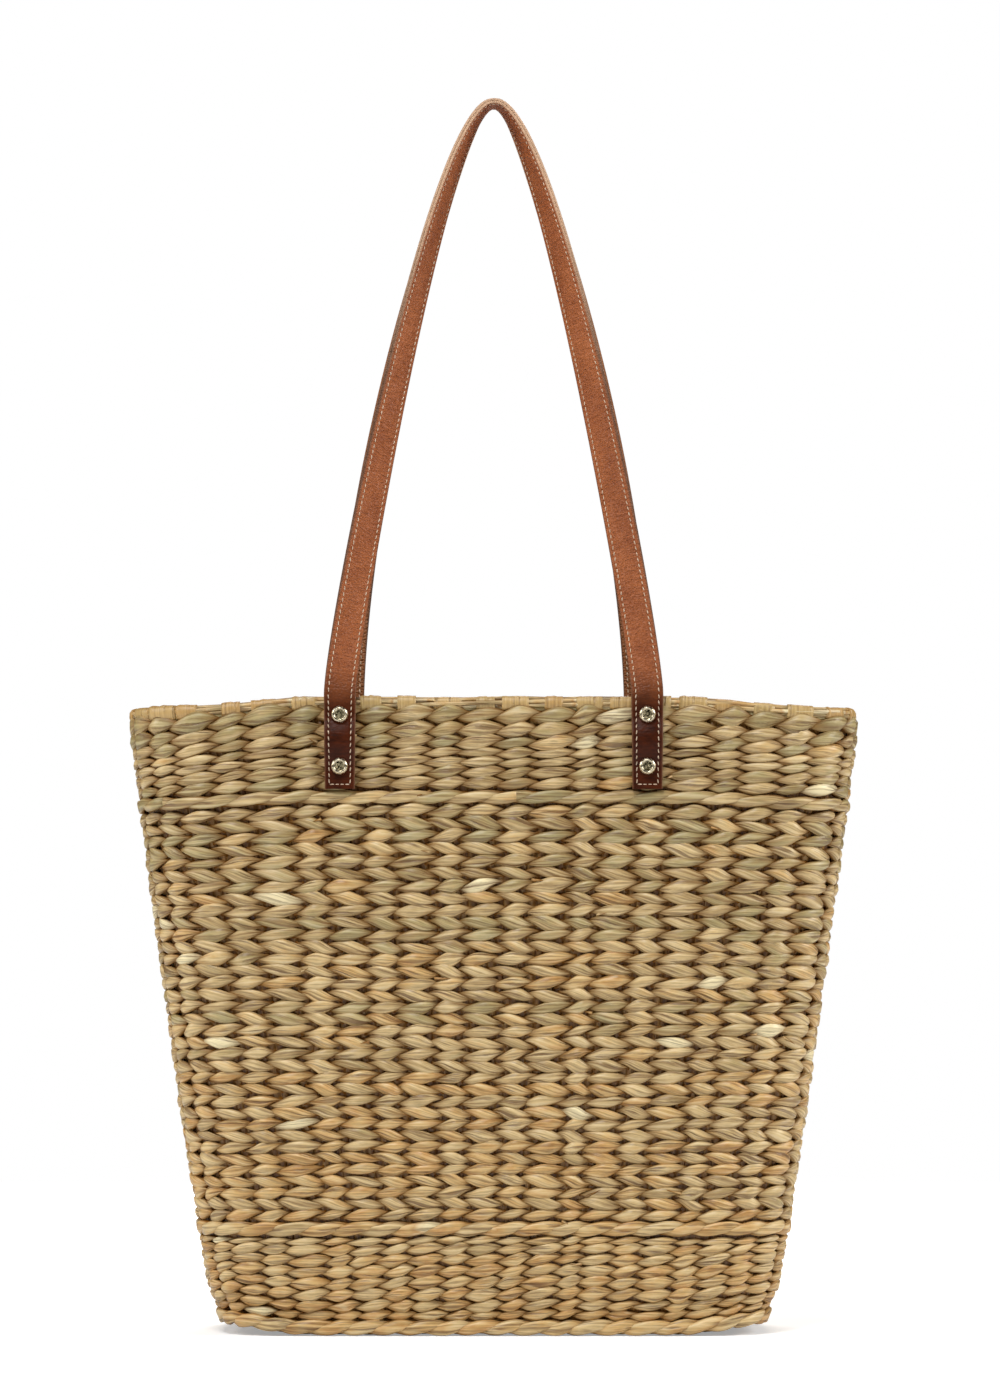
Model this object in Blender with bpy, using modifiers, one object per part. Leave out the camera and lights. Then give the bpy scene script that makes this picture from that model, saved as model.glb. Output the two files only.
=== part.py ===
"""Flared beach bag of twined straw with two stitched leather shoulder straps.

Metres, +Z up. The bag stands on the XY plane with its middle on the Z axis, and its front faces -Y.
"""

import math

import bmesh
import bpy
from mathutils import Vector

OBJECT_NAME = "beach_bag"

# The basket's outline at the floor and at the top of the rim, measured from its middle
BAG_HEIGHT = 0.338
FOOT_HALF_WIDTH = 0.1495
RIM_HALF_WIDTH = 0.1975
FOOT_HALF_DEPTH = 0.064
RIM_HALF_DEPTH = 0.075
# Half of the straight run along the front and the back, before the rounded ends begin
FOOT_STRAIGHT = 0.082
RIM_STRAIGHT = 0.114
# 2 makes the ends elliptical, and more makes them squarer
END_SQUARENESS = 4.2
# How far the walls belly out at half height
WALL_BOW = 0.002
WALL = 0.0085
BASE_THICKNESS = 0.007

# The weave is drawn in above the foot rope, over this height
FOOT_TUCK = 0.003
FOOT_TUCK_HEIGHT = 0.012

# Ropes between the bands of weave, and the cord along the rim
FOOT_ROPE_RADIUS = 0.0043
LOWER_ROPE_RADIUS = 0.0042
LOWER_ROPE_HEIGHT = 0.0567
UPPER_ROPE_RADIUS = 0.0039
UPPER_ROPE_DROP = 0.0534
RIM_CORD_RADIUS = 0.0031
ROPE_PROUD = 0.0016

# Straps of two stitched plies
STRAP_WIDTH = 0.0170
PLY = 0.0015
STRAP_HALF_SPACING = 0.0814
# The back loop stands a little higher and fuller, so that the front one hides it
FRONT_RISE = 0.3283
BACK_RISE = 0.3315
# Reach of each loop's curve from the rim upwards, and from its top sideways
FRONT_LEG_REACH = 0.026
BACK_LEG_REACH = 0.121
FRONT_TOP_REACH = 0.030
BACK_TOP_REACH = 0.021
# How late the left and the right legs turn their edges to the front: 1 is an even twist
LEFT_TWIST_POWER = 1.04
RIGHT_TWIST_POWER = 1.44
# The strap folds about a line this far in front of its own middle, this far above the rim
FOLD_RADIUS = 0.005
FOLD_ABOVE_RIM = 0.001
# Half of the space between the two straps where their tops meet
TOPS_HALF_GAP = 0.0005

# Rivets through the strap ends, the weave and a patch inside
UPPER_RIVET_DROP = 0.0098
LOWER_RIVET_EDGE = 0.0120
CAP_RADIUS = 0.0045
CAP_HEIGHT = 0.0026
CAP_RIM_HEIGHT = 0.0009
SOCKET_DEPTH = 0.0008
POST_RADIUS = 0.0015
POST_HEAD_RADIUS = 0.0040
POST_HEAD_HEIGHT = 0.0010
PATCH_THICKNESS = 0.0014
PATCH_MARGIN = 0.0072
CORNER_BEVEL = 0.0008

# Space between pieces that touch, and between a rivet's post and its hole
CLEARANCE = 0.0003

# Fineness of the round pieces
END_STEPS = 8
MIDDLE_LEVELS = 5
LEG_STEPS = 22
CAP_STEPS = 16
POST_STEPS = 12

ROPE_RESOLUTION = 2

# Heights that follow from the sizes above
FOOT_ROPE_Z = CLEARANCE + FOOT_ROPE_RADIUS
UPPER_ROPE_Z = BAG_HEIGHT - UPPER_ROPE_DROP
RIM_CORD_Z = BAG_HEIGHT - RIM_CORD_RADIUS
LOWER_WEAVE_BOTTOM = FOOT_ROPE_Z + FOOT_ROPE_RADIUS + CLEARANCE
LOWER_WEAVE_TOP = LOWER_ROPE_HEIGHT - LOWER_ROPE_RADIUS - CLEARANCE
MIDDLE_WEAVE_BOTTOM = LOWER_ROPE_HEIGHT + LOWER_ROPE_RADIUS + CLEARANCE
MIDDLE_WEAVE_TOP = UPPER_ROPE_Z - UPPER_ROPE_RADIUS - CLEARANCE
UPPER_WEAVE_BOTTOM = UPPER_ROPE_Z + UPPER_ROPE_RADIUS + CLEARANCE
UPPER_WEAVE_TOP = RIM_CORD_Z - RIM_CORD_RADIUS - CLEARANCE
STRAP_THICKNESS = 2 * PLY + CLEARANCE


def start_scene():
    """Empty the scene and return the collections for the parts and for the cutters."""
    for obj in list(bpy.data.objects):
        bpy.data.objects.remove(obj, do_unlink=True)
    parts = bpy.data.collections.new(OBJECT_NAME)
    cutters = bpy.data.collections.new(OBJECT_NAME + "_cutters")
    for collection in (parts, cutters):
        bpy.context.scene.collection.children.link(collection)
    return parts, cutters


PARTS, CUTTERS = start_scene()


def make_material(name, color, roughness, metallic=0.0):
    material = bpy.data.materials.new(name)
    material.use_nodes = True
    shader = material.node_tree.nodes["Principled BSDF"]
    shader.inputs["Base Color"].default_value = (*color, 1.0)
    shader.inputs["Roughness"].default_value = roughness
    shader.inputs["Metallic"].default_value = metallic
    return material


STRAW = make_material("twined_straw", (0.46, 0.31, 0.12), 0.75)
ROPE = make_material("twisted_straw_rope", (0.42, 0.28, 0.11), 0.75)
LEATHER = make_material("tan_leather", (0.33, 0.09, 0.025), 0.45)
LINING = make_material("lining_leather", (0.27, 0.08, 0.025), 0.6)
NICKEL = make_material("nickel", (0.62, 0.60, 0.57), 0.3, 1.0)


def add_object(name, data, material, parent=None):
    obj = bpy.data.objects.new(name, data)
    PARTS.objects.link(obj)
    data.materials.append(material)
    obj.parent = parent
    return obj


def mesh_from(name, bm):
    bmesh.ops.recalc_face_normals(bm, faces=bm.faces)
    mesh = bpy.data.meshes.new(name)
    bm.to_mesh(mesh)
    bm.free()
    return mesh


def smooth(mesh, angle=math.radians(40)):
    mesh.shade_smooth()
    mesh.set_sharp_from_angle(angle=angle)


def between(foot, rim, z):
    return foot + (rim - foot) * z / BAG_HEIGHT


def bow(z):
    share = z / BAG_HEIGHT
    return WALL_BOW * 4 * share * (1 - share)


def half_width(z):
    return between(FOOT_HALF_WIDTH, RIM_HALF_WIDTH, z) + bow(z)


def half_depth(z):
    return between(FOOT_HALF_DEPTH, RIM_HALF_DEPTH, z) + bow(z)


def outline(z, inset=0.0):
    """Points round the basket at height z, inset from its outer face, from +X towards +Y."""
    straight = between(FOOT_STRAIGHT, RIM_STRAIGHT, z)
    end_length = half_width(z) - inset - straight
    depth = half_depth(z) - inset
    quarter = []
    for step in range(END_STEPS + 1):
        turn = math.pi / 2 * step / END_STEPS
        x = straight + end_length * max(math.cos(turn), 0.0) ** (2 / END_SQUARENESS)
        y = depth * math.sin(turn) ** (2 / END_SQUARENESS)
        quarter.append((x, y))
    quarter[-1] = (straight, depth)
    half = quarter + [(-x, y) for x, y in reversed(quarter)]
    other_half = [(x, -y) for x, y in reversed(half[1:-1])]
    return [Vector((x, y, z)) for x, y in half + other_half]


def weave_band(name, levels):
    """A wall of weave lofted through (height, inset) levels, open above and below."""
    outer = [outline(z, inset) for z, inset in levels]
    inner = [outline(z, inset + WALL) for z, inset in reversed(levels)]
    bm = bmesh.new()
    rings = [[bm.verts.new(point) for point in ring] for ring in outer + inner]
    count = len(rings[0])
    for ring, following in zip(rings, rings[1:] + rings[:1]):
        for i in range(count):
            j = (i + 1) % count
            bm.faces.new((ring[i], ring[j], following[j], following[i]))
    mesh = mesh_from(name, bm)
    smooth(mesh)
    return add_object(name, mesh, STRAW)


def rope_ring(name, z, radius, proud, material):
    """A round rope that follows the wall and stands out of it by proud."""
    curve = bpy.data.curves.new(name, "CURVE")
    curve.dimensions = "3D"
    curve.bevel_depth = radius
    curve.bevel_resolution = ROPE_RESOLUTION
    points = outline(z, radius - proud)
    spline = curve.splines.new("POLY")
    spline.points.add(len(points) - 1)
    spline.use_cyclic_u = True
    for spot, point in zip(spline.points, points):
        spot.co = (*point, 1.0)
    return add_object(name, curve, material)


def base_mat():
    """The woven bottom, inside the foot rope."""
    curve = bpy.data.curves.new("base_mat", "CURVE")
    curve.dimensions = "2D"
    curve.fill_mode = "BOTH"
    curve.extrude = BASE_THICKNESS / 2
    rope_inner = FOOT_TUCK + 2 * FOOT_ROPE_RADIUS
    points = outline(FOOT_ROPE_Z, rope_inner + CLEARANCE)
    spline = curve.splines.new("POLY")
    spline.points.add(len(points) - 1)
    spline.use_cyclic_u = True
    for spot, point in zip(spline.points, points):
        spot.co = (point.x, point.y, 0.0, 1.0)
    mat = add_object("base_mat", curve, STRAW)
    mat.location.z = BASE_THICKNESS / 2
    return mat


def make_basket():
    base_mat()
    rope_ring("foot_rope", FOOT_ROPE_Z, FOOT_ROPE_RADIUS, -FOOT_TUCK, ROPE)
    tuck_top = LOWER_WEAVE_BOTTOM + FOOT_TUCK_HEIGHT
    weave_band(
        "lower_weave",
        [(LOWER_WEAVE_BOTTOM, FOOT_TUCK), (tuck_top, 0.0), (LOWER_WEAVE_TOP, 0.0)],
    )
    rope_ring("lower_rope_band", LOWER_ROPE_HEIGHT, LOWER_ROPE_RADIUS, ROPE_PROUD, ROPE)
    rise = (MIDDLE_WEAVE_TOP - MIDDLE_WEAVE_BOTTOM) / (MIDDLE_LEVELS - 1)
    weave_band(
        "middle_weave",
        [(MIDDLE_WEAVE_BOTTOM + rise * level, 0.0) for level in range(MIDDLE_LEVELS)],
    )
    rope_ring("upper_rope_band", UPPER_ROPE_Z, UPPER_ROPE_RADIUS, ROPE_PROUD, ROPE)
    upper_weave = weave_band("upper_weave", [(UPPER_WEAVE_BOTTOM, 0.0), (UPPER_WEAVE_TOP, 0.0)])
    rim_inset = (WALL - 2 * RIM_CORD_RADIUS) / 2
    rope_ring("rim_cord", RIM_CORD_Z, RIM_CORD_RADIUS, -rim_inset, ROPE)
    return upper_weave


def make_empty(name, location, rotation, parent=None):
    empty = bpy.data.objects.new(name, None)
    PARTS.objects.link(empty)
    empty.location = location
    empty.rotation_euler = rotation
    empty.parent = parent
    return empty


# Each strap end lies on the upper weave, in a frame whose -Y looks straight out of the wall
UPPER_WEAVE_HEIGHT = UPPER_WEAVE_TOP - UPPER_WEAVE_BOTTOM
WALL_LEAN = math.atan2(half_depth(UPPER_WEAVE_TOP) - half_depth(UPPER_WEAVE_BOTTOM), UPPER_WEAVE_HEIGHT)
SEAT_ORIGIN = Vector((0.0, -half_depth(UPPER_WEAVE_BOTTOM), UPPER_WEAVE_BOTTOM))
SEAT_UP = Vector((0.0, -math.sin(WALL_LEAN), math.cos(WALL_LEAN)))
SEAT_OUT = Vector((0.0, -math.cos(WALL_LEAN), -math.sin(WALL_LEAN)))


def seat_height(z):
    """How far up the leaning wall a height above the floor lies."""
    return (z - UPPER_WEAVE_BOTTOM) / math.cos(WALL_LEAN)


TAB_LENGTH = seat_height(BAG_HEIGHT + FOLD_ABOVE_RIM)
LOWER_RIVET_HEIGHT = LOWER_RIVET_EDGE
UPPER_RIVET_HEIGHT = seat_height(BAG_HEIGHT - UPPER_RIVET_DROP)

# Distances out of the wall's face, from the patch inside to the rivet's cap
PATCH_OUT = -WALL - CLEARANCE
POST_HEAD_OUT = PATCH_OUT - PATCH_THICKNESS - CLEARANCE
LINING_OUT = CLEARANCE
FACE_OUT = LINING_OUT + PLY + CLEARANCE
STRAP_MIDDLE_OUT = LINING_OUT + STRAP_THICKNESS / 2
CAP_OUT = FACE_OUT + PLY + CLEARANCE
POST_TIP_OUT = CAP_OUT + SOCKET_DEPTH - CLEARANCE


def rivet_hole(name, height, parent):
    """A cutter for a rivet's hole through the strap end, the weave and the patch."""
    inner = POST_HEAD_OUT
    outer = CAP_OUT
    bm = bmesh.new()
    radius = POST_RADIUS + CLEARANCE
    bmesh.ops.create_cone(
        bm, cap_ends=True, segments=POST_STEPS, radius1=radius, radius2=radius, depth=outer - inner
    )
    mesh = mesh_from(name, bm)
    hole = bpy.data.objects.new(name, mesh)
    CUTTERS.objects.link(hole)
    hole.location = (0.0, -(outer + inner) / 2, height)
    hole.rotation_euler = (math.pi / 2, 0.0, 0.0)
    hole.parent = parent
    hole.hide_render = True
    hole.display_type = "WIRE"
    return hole


def cut(obj, cutters):
    for cutter in cutters:
        modifier = obj.modifiers.new(cutter.name, "BOOLEAN")
        modifier.operation = "DIFFERENCE"
        modifier.solver = "EXACT"
        modifier.object = cutter


def leather_plate(name, bottom, top, inner, thickness, material, holes, parent):
    """A strap-wide plate up the wall, with its inner face a given distance out of the wall."""
    bm = bmesh.new()
    bmesh.ops.create_cube(bm, size=1.0)
    bmesh.ops.scale(bm, vec=(STRAP_WIDTH, thickness, top - bottom), verts=bm.verts)
    upright = [e for e in bm.edges if abs(e.verts[0].co.y - e.verts[1].co.y) > thickness / 2]
    low = [e for e in upright if e.verts[0].co.z < 0]
    bmesh.ops.bevel(bm, geom=low, offset=CORNER_BEVEL, segments=2, profile=0.5, affect="EDGES")
    plate = add_object(name, mesh_from(name, bm), material, parent)
    plate.location = (0.0, -(inner + thickness / 2), (bottom + top) / 2)
    cut(plate, holes)
    return plate


def turned(name, profile, steps, material, parent, out, height):
    """A round piece turned from (radius, height) points, top to bottom, standing out of the wall."""
    bm = bmesh.new()
    verts = [bm.verts.new((radius, 0.0, z)) for radius, z in profile]
    for upper, lower in zip(verts, verts[1:]):
        bm.edges.new((upper, lower))
    mesh = bpy.data.meshes.new(name)
    bm.to_mesh(mesh)
    bm.free()
    piece = add_object(name, mesh, material, parent)
    screw = piece.modifiers.new("turn", "SCREW")
    screw.steps = steps
    screw.render_steps = steps
    screw.use_merge_vertices = True
    screw.merge_threshold = 0.00001
    screw.use_smooth_shade = True
    piece.location = (0.0, -out, height)
    piece.rotation_euler = (math.pi / 2, 0.0, 0.0)
    return piece


def rivet(name, height, parent):
    """A domed cap outside, and a post with a flat head inside whose tip stands in the cap."""
    socket_radius = POST_RADIUS + CLEARANCE
    cap = [(0.0, CAP_HEIGHT)]
    dome_height = CAP_HEIGHT - CAP_RIM_HEIGHT
    for turn in (math.radians(35), math.radians(65), math.radians(90)):
        cap.append((CAP_RADIUS * math.sin(turn), CAP_RIM_HEIGHT + dome_height * math.cos(turn)))
    cap += [(CAP_RADIUS, 0.0), (socket_radius, 0.0), (socket_radius, SOCKET_DEPTH), (0.0, SOCKET_DEPTH)]
    turned(name + "_cap", cap, CAP_STEPS, NICKEL, parent, CAP_OUT, height)
    length = POST_TIP_OUT - POST_HEAD_OUT
    post = [
        (0.0, length),
        (POST_RADIUS, length),
        (POST_RADIUS, 0.0),
        (POST_HEAD_RADIUS, 0.0),
        (POST_HEAD_RADIUS, -POST_HEAD_HEIGHT),
        (0.0, -POST_HEAD_HEIGHT),
    ]
    turned(name + "_post", post, POST_STEPS, NICKEL, parent, POST_HEAD_OUT, height)


def strap_end(name, x, side):
    """One strap end on the wall, with its plies, patch and rivets. Returns its hole cutters."""
    seat = make_empty(name + "_seat", SEAT_ORIGIN + Vector((x, 0.0, 0.0)), (WALL_LEAN, 0.0, 0.0), side)
    heights = {"upper": UPPER_RIVET_HEIGHT, "lower": LOWER_RIVET_HEIGHT}
    holes = [rivet_hole(f"{name}_{row}_hole", height, seat) for row, height in heights.items()]
    leather_plate(name + "_tab_lining", 0.0, TAB_LENGTH, LINING_OUT, PLY, LINING, holes, seat)
    leather_plate(name + "_tab_face", 0.0, TAB_LENGTH, FACE_OUT, PLY, LEATHER, holes, seat)
    leather_plate(
        name + "_backing_patch",
        LOWER_RIVET_HEIGHT - PATCH_MARGIN,
        UPPER_RIVET_HEIGHT + PATCH_MARGIN,
        PATCH_OUT - PATCH_THICKNESS,
        PATCH_THICKNESS,
        LINING,
        holes,
        seat,
    )
    for row, height in heights.items():
        rivet(f"{name}_{row}_rivet", height, seat)
    return holes


FOLD_OUT = STRAP_MIDDLE_OUT + FOLD_RADIUS
FOLD_LINE = SEAT_ORIGIN + SEAT_UP * TAB_LENGTH + SEAT_OUT * FOLD_OUT


def bezier(points, t):
    a, b, c, d = points
    return a * (1 - t) ** 3 + b * 3 * (1 - t) ** 2 * t + c * 3 * (1 - t) * t * t + d * t ** 3


def bezier_slope(points, t):
    a, b, c, d = points
    return (b - a) * (1 - t) ** 2 + (c - b) * 2 * (1 - t) * t + (d - c) * t * t


def loop_stations(side_name):
    """Middle, width direction and face normal along a loop, from its local left end over to the right.

    The loop is measured from the fold line. At its ends the face looks out of the bag, and at its top
    the face looks down and the strap's edge looks out.
    """
    if side_name == "front":
        rise, leg_reach, top_reach = FRONT_RISE, FRONT_LEG_REACH, FRONT_TOP_REACH
        first_power, last_power = LEFT_TWIST_POWER, RIGHT_TWIST_POWER
    else:
        rise, leg_reach, top_reach = BACK_RISE, BACK_LEG_REACH, BACK_TOP_REACH
        first_power, last_power = RIGHT_TWIST_POWER, LEFT_TWIST_POWER
    foot = Vector((-STRAP_HALF_SPACING, 0.0, 0.0)) - SEAT_OUT * FOLD_RADIUS + SEAT_UP * CLEARANCE
    top_y = -(TOPS_HALF_GAP + STRAP_WIDTH / 2) - FOLD_LINE.y
    top = Vector((0.0, top_y, rise))
    leg = (foot, foot + SEAT_UP * leg_reach, top - Vector((top_reach, 0.0, 0.0)), top)
    stations = []
    for step in range(-LEG_STEPS, LEG_STEPS + 1):
        first_half = step <= 0
        share = 1 - abs(step) / LEG_STEPS
        middle = bezier(leg, share)
        along = bezier_slope(leg, share).normalized()
        if not first_half:
            middle.x = -middle.x
            along = Vector((along.x, -along.y, -along.z))
        front = Vector((0.0, -1.0, 0.0))
        front = (front - along * front.dot(along)).normalized()
        inward = along.cross(front)
        power = first_power if first_half else last_power
        twist = math.pi / 2 * share ** power
        normal = front * math.cos(twist) + inward * math.sin(twist)
        stations.append((middle, normal.cross(along), normal))
    return stations


def loop_ply(name, side_name, level, solidify_offset, material, parent):
    """One ply of a strap's loop: a strip laid along the stations and given its thickness."""
    stations = loop_stations(side_name)
    bm = bmesh.new()
    bmesh.ops.create_grid(bm, x_segments=len(stations) - 1, y_segments=1, size=0.5)
    for vert in bm.verts:
        index = round((vert.co.x + 0.5) * (len(stations) - 1))
        middle, across, normal = stations[index]
        vert.co = middle + normal * level + across * (STRAP_WIDTH * vert.co.y)
    mesh = bpy.data.meshes.new(name)
    bm.to_mesh(mesh)
    bm.free()
    smooth(mesh)
    ply = add_object(name, mesh, material, parent)
    solidify = ply.modifiers.new("thickness", "SOLIDIFY")
    solidify.thickness = PLY
    solidify.offset = solidify_offset
    return ply


def strap_side(side_name, turn, names):
    """The strap on one side of the bag. names gives what its local left and right ends are called."""
    side = make_empty(side_name + "_side", (0.0, 0.0, 0.0), (0.0, 0.0, turn))
    holes = []
    for x, end_name in zip((-STRAP_HALF_SPACING, STRAP_HALF_SPACING), names):
        holes += strap_end(f"{side_name}_{end_name}", x, side)
    axis = make_empty(side_name + "_handle_axis", FOLD_LINE, (0.0, 0.0, 0.0), side)
    loop_ply(side_name + "_strap_face", side_name, CLEARANCE / 2, 1.0, LEATHER, axis)
    loop_ply(side_name + "_strap_lining", side_name, -CLEARANCE / 2, -1.0, LINING, axis)
    return holes


def main():
    upper_weave = make_basket()
    holes = strap_side("front", 0.0, ("left", "right"))
    holes += strap_side("back", math.pi, ("right", "left"))
    cut(upper_weave, holes)


main()
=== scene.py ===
"""The looks of a beach bag: a basket of twined straw with two leather shoulder straps.

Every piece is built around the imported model: metres, +Z up, the front of the bag towards -Y.
"""
import math

import bpy
import numpy as np
from mathutils import Matrix, Vector


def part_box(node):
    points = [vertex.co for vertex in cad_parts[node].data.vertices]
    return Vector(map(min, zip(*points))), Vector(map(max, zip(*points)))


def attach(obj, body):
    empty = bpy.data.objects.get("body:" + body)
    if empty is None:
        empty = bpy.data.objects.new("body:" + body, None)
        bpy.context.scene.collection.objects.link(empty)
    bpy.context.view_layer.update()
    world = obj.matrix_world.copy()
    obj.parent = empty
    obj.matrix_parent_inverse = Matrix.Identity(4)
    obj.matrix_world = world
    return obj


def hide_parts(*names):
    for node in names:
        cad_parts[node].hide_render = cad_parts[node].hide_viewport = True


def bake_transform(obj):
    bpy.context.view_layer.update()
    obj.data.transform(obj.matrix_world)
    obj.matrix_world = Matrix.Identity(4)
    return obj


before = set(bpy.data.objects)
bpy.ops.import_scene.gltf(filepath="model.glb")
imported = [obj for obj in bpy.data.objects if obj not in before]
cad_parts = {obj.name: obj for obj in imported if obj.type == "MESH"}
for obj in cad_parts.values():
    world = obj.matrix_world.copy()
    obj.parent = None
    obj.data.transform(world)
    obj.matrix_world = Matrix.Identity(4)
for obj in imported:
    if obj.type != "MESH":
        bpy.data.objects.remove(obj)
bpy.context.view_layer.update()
chance = np.random.default_rng(17)

# The wall, with the same sizes as the solids
BAG_HEIGHT = 0.338
FOOT_HALF_WIDTH = 0.1495
RIM_HALF_WIDTH = 0.1975
FOOT_HALF_DEPTH = 0.064
RIM_HALF_DEPTH = 0.075
FOOT_STRAIGHT = 0.082
RIM_STRAIGHT = 0.114
END_SQUARENESS = 4.2
RING_STEPS = 90
WALL_BOW = 0.002
WALL = 0.0085
FOOT_TUCK = 0.003
FOOT_TUCK_HEIGHT = 0.012
ROPE_PROUD = 0.0016

# The twining: an even number of stakes, and strands that pass before and behind them by turns
STAKES = 52
STAKE_STRAWS = 4
STAKE_HALF_WIDTH = 0.0031
STAKE_HALF_THICKNESS = 0.0010
STAKE_SET_BACK = 0.0006
STAKE_SIDES = 6
STAKE_STEPS = 30
# The stakes' outer faces take tints from this range, dark as painted shade in the twining's gaps
GAP_SHADE_STAKE_TINTS = (0.0, 0.30)
INNER_STAKE_TINT = 0.80
WIDE_AND_NARROW = 0.12
STAKE_JITTER = 0.06
STITCH_NUDGE = 0.07
STITCH_STEPS = 8
STRAND_SIDES = 10
STRAND_SWING = 0.0024
STRAND_HALF_THICKNESS = 0.0025
TIP_SHARE = 0.16
CLIMB_SHARE = 0.40
CURL = 0.15
STRAW_SQUARENESS = 2.7
RIDGES = 3
RIDGE_DEPTH = 0.08
RIDGE_TURN = 0.045
MIDDLE_PAIRS = 17
MIDDLE_PIECES = 4
MIDDLE_ROW_TAPER = 0.06
UPPER_ROW_SHARES = (1.22, 1.15, 1.05, 0.78, 0.80, 1.00, 1.00)
LOWER_ROW_SHARES = (0.62, 1.00, 1.05, 1.10, 1.10, 1.05, 1.00, 0.90)
TOP_ROW_LIFT = 0.0012

# The hand's rise and fall along a row: its height, and for each wave its share of that, its turns round the
# bag, its turns in a metre of height and its phase
ROW_WAVE = 0.0006
ROW_WAVES = ((0.6, 4, 5, 0.0), (0.4, 9, -8, 1.3))

# The chance in it: how plump, how far aside and how steep a stitch is, and where a strand's fibres begin
PLUMP_SPREAD = 0.11
ASIDE_SPREAD = 0.10
STEEP_SPREAD = 0.22
FIBRE_START = 50

# How a stitch fills out, swings out and thickens, before the stakes and behind them
FILL_POWERS = (1.30, 0.25)
SWING_POWERS = (0.75, 0.35)
THICKENING = (0.60, 0.25)
THINNEST = 0.40

# A straw's place among its tints: at the rim, its gain to the foot, its spread, and the rare pale stitch.
# The gain makes the straw warmer towards the foot, and darker towards the rim as painted shade
RIM_TINT = 0.24
FOOT_TINT_GAIN = 0.46
STRAW_TINT_SPREAD = 0.13
STITCH_TINT_SPREAD = 0.06
PALE_STITCH_SHARE = 0.010
PALE_TINT = 1.12
TINT_LIMITS = (0.02, 0.72)
STRAW_STITCHES = (2, 9)

# Stray ends of straw
STRAY_ENDS = 60
STRAY_HEIGHTS = (0.03, 0.32)
STRAY_LENGTHS = (0.004, 0.011)
STRAY_LIFT = 0.0026
STRAY_HALF_WIDTH = 0.0009
STRAY_FLATNESS = 0.35
STRAY_TAPER = 1.05
STRAY_INSET = 0.002
STRAY_LEAN = 0.5
STRAY_CURLS = (1.6, 3.0)
STRAY_TINTS = (0.5, 0.9)
STRAY_STEPS = 6
STRAY_SIDES = 5

# How full a stitch is against its row, and how far its ends reach past the stakes
PLAIN_STITCH = (1.20, 0.75)
ARROW_STITCH = (1.14, 0.66)

# The inner face of the twining: one stitch behind each stake. Each pair is for its ends and the gain to
# its middle
INSIDE_STEPS = 6
INSIDE_SIDES = 8
INSIDE_SWING = 0.0026
INSIDE_BULGE_POWER = 0.6
INSIDE_PLUMP_SPREAD = 0.10
INSIDE_SWINGS = (0.55, 0.45)
INSIDE_HEIGHTS = (0.30, 0.80)
INSIDE_THICKNESSES = (0.25, 0.65)

# How the finished basket has settled: the rim droops, and the foot lifts and rounds, towards the two ends
SETTLED_FROM = 0.095
RIM_DROOP = 0.0048
DROOP_TO = 0.170
DROOP_BOTTOM = 0.20
FOOT_LIFT = 0.0050
LIFT_TOP = 0.06
FOOT_ROUNDING = 0.0018
ROUNDING_FROM = 0.120
ROUNDING_TOP = 0.012
LOWEST = 0.0001

# How much lighter, as painted light from the floor, the painted shade in the straw's hollows is at the foot
# than at the rim, and the share of the height at which it is as its material says
FOOT_PAINTED_FILL = 0.12
EVEN_SHADE_SHARE = 0.55

# How far the palest fibres, partly painted highlights on the bump's ridges, and the cracks between folds
# depart from a straw's own colour
PALE_FIBRE_HIGHLIGHT = 0.40
DARK_CRACK = 0.70

# The wale ropes: three strands, each over two stakes and behind one
ROPE_STRANDS = 3
ROPE_SIDES = 14
ROPE_STEPS = 6
ROPE_SWING = 0.50
ROPE_LIFT = 0.40
ROPE_HEIGHTS = (0.36, 0.44)
ROPE_FILL_POWER = 0.8
ROPE_THICKNESSES = (0.46, 0.04)

# The rim: thin straws laid along the edge, bound down at each stake by a flat leaf
RIM_STRAWS = 6
RIM_STRAW_HALF = 0.00115
RIM_STEPS = 5
RIM_SIDES = 7
RIM_TURNS = 2
RIM_WANDER = 0.00035
RIM_PALE_SHARE = 0.2
RIM_TINTS = (0.1, 0.7)
RIM_CORE_OVERLAP = 0.0006
RIM_CORE_TINT = 0.05
UNDER_RIM_GAP = 0.0002
UNDER_RIM_SECTION = (1.2, 0.9)
UNDER_RIM_TINT = 0.1
UNDER_RIM_SIDES = 8
LEAF_WIDTH = 0.0128
LEAF_WIDTH_SHARES = (0.75, 1.35)
LEAF_HALF = 0.0031
LEAF_HALF_SHARES = (0.92, 1.22)
LEAF_CREASES = (0.94, 1.08)
LEAF_ASIDE = 0.15
LEAF_DROP = 0.0004
LEAF_SIDES = 12
LEAF_PLACES = (-0.5, -0.49, -0.34, -0.17, 0.0, 0.17, 0.34, 0.49, 0.5)
LEAF_PROFILE = (0.70, 0.97, 1.04, 1.00, 1.05, 0.98, 1.03, 0.96, 0.70)
LEAF_TINTS = (0.0, 0.3, 0.5, 1.0)
LEAF_TINT_SHARES = (0.2, 0.25, 0.25, 0.3)

# The base: rings of the same twining, crossed by the stakes' flat ends
RING_STEP = 0.0071
BASE_RINGS = 7
BASE_STITCH = 0.0165
BASE_SWING = 0.0016
BASE_HALF_THICKNESS = 0.0017
BASE_STRAW_STEP = 0.0054
BASE_TUCKED_IN = 0.0075
BASE_RING_START = 0.0015
BASE_STEPS = 24
BASE_HEART_HALF = 0.00374
BASE_STRAW_SHARE = 0.58
BASE_STRAW_TINTS = (0.0, 0.6)

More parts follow.
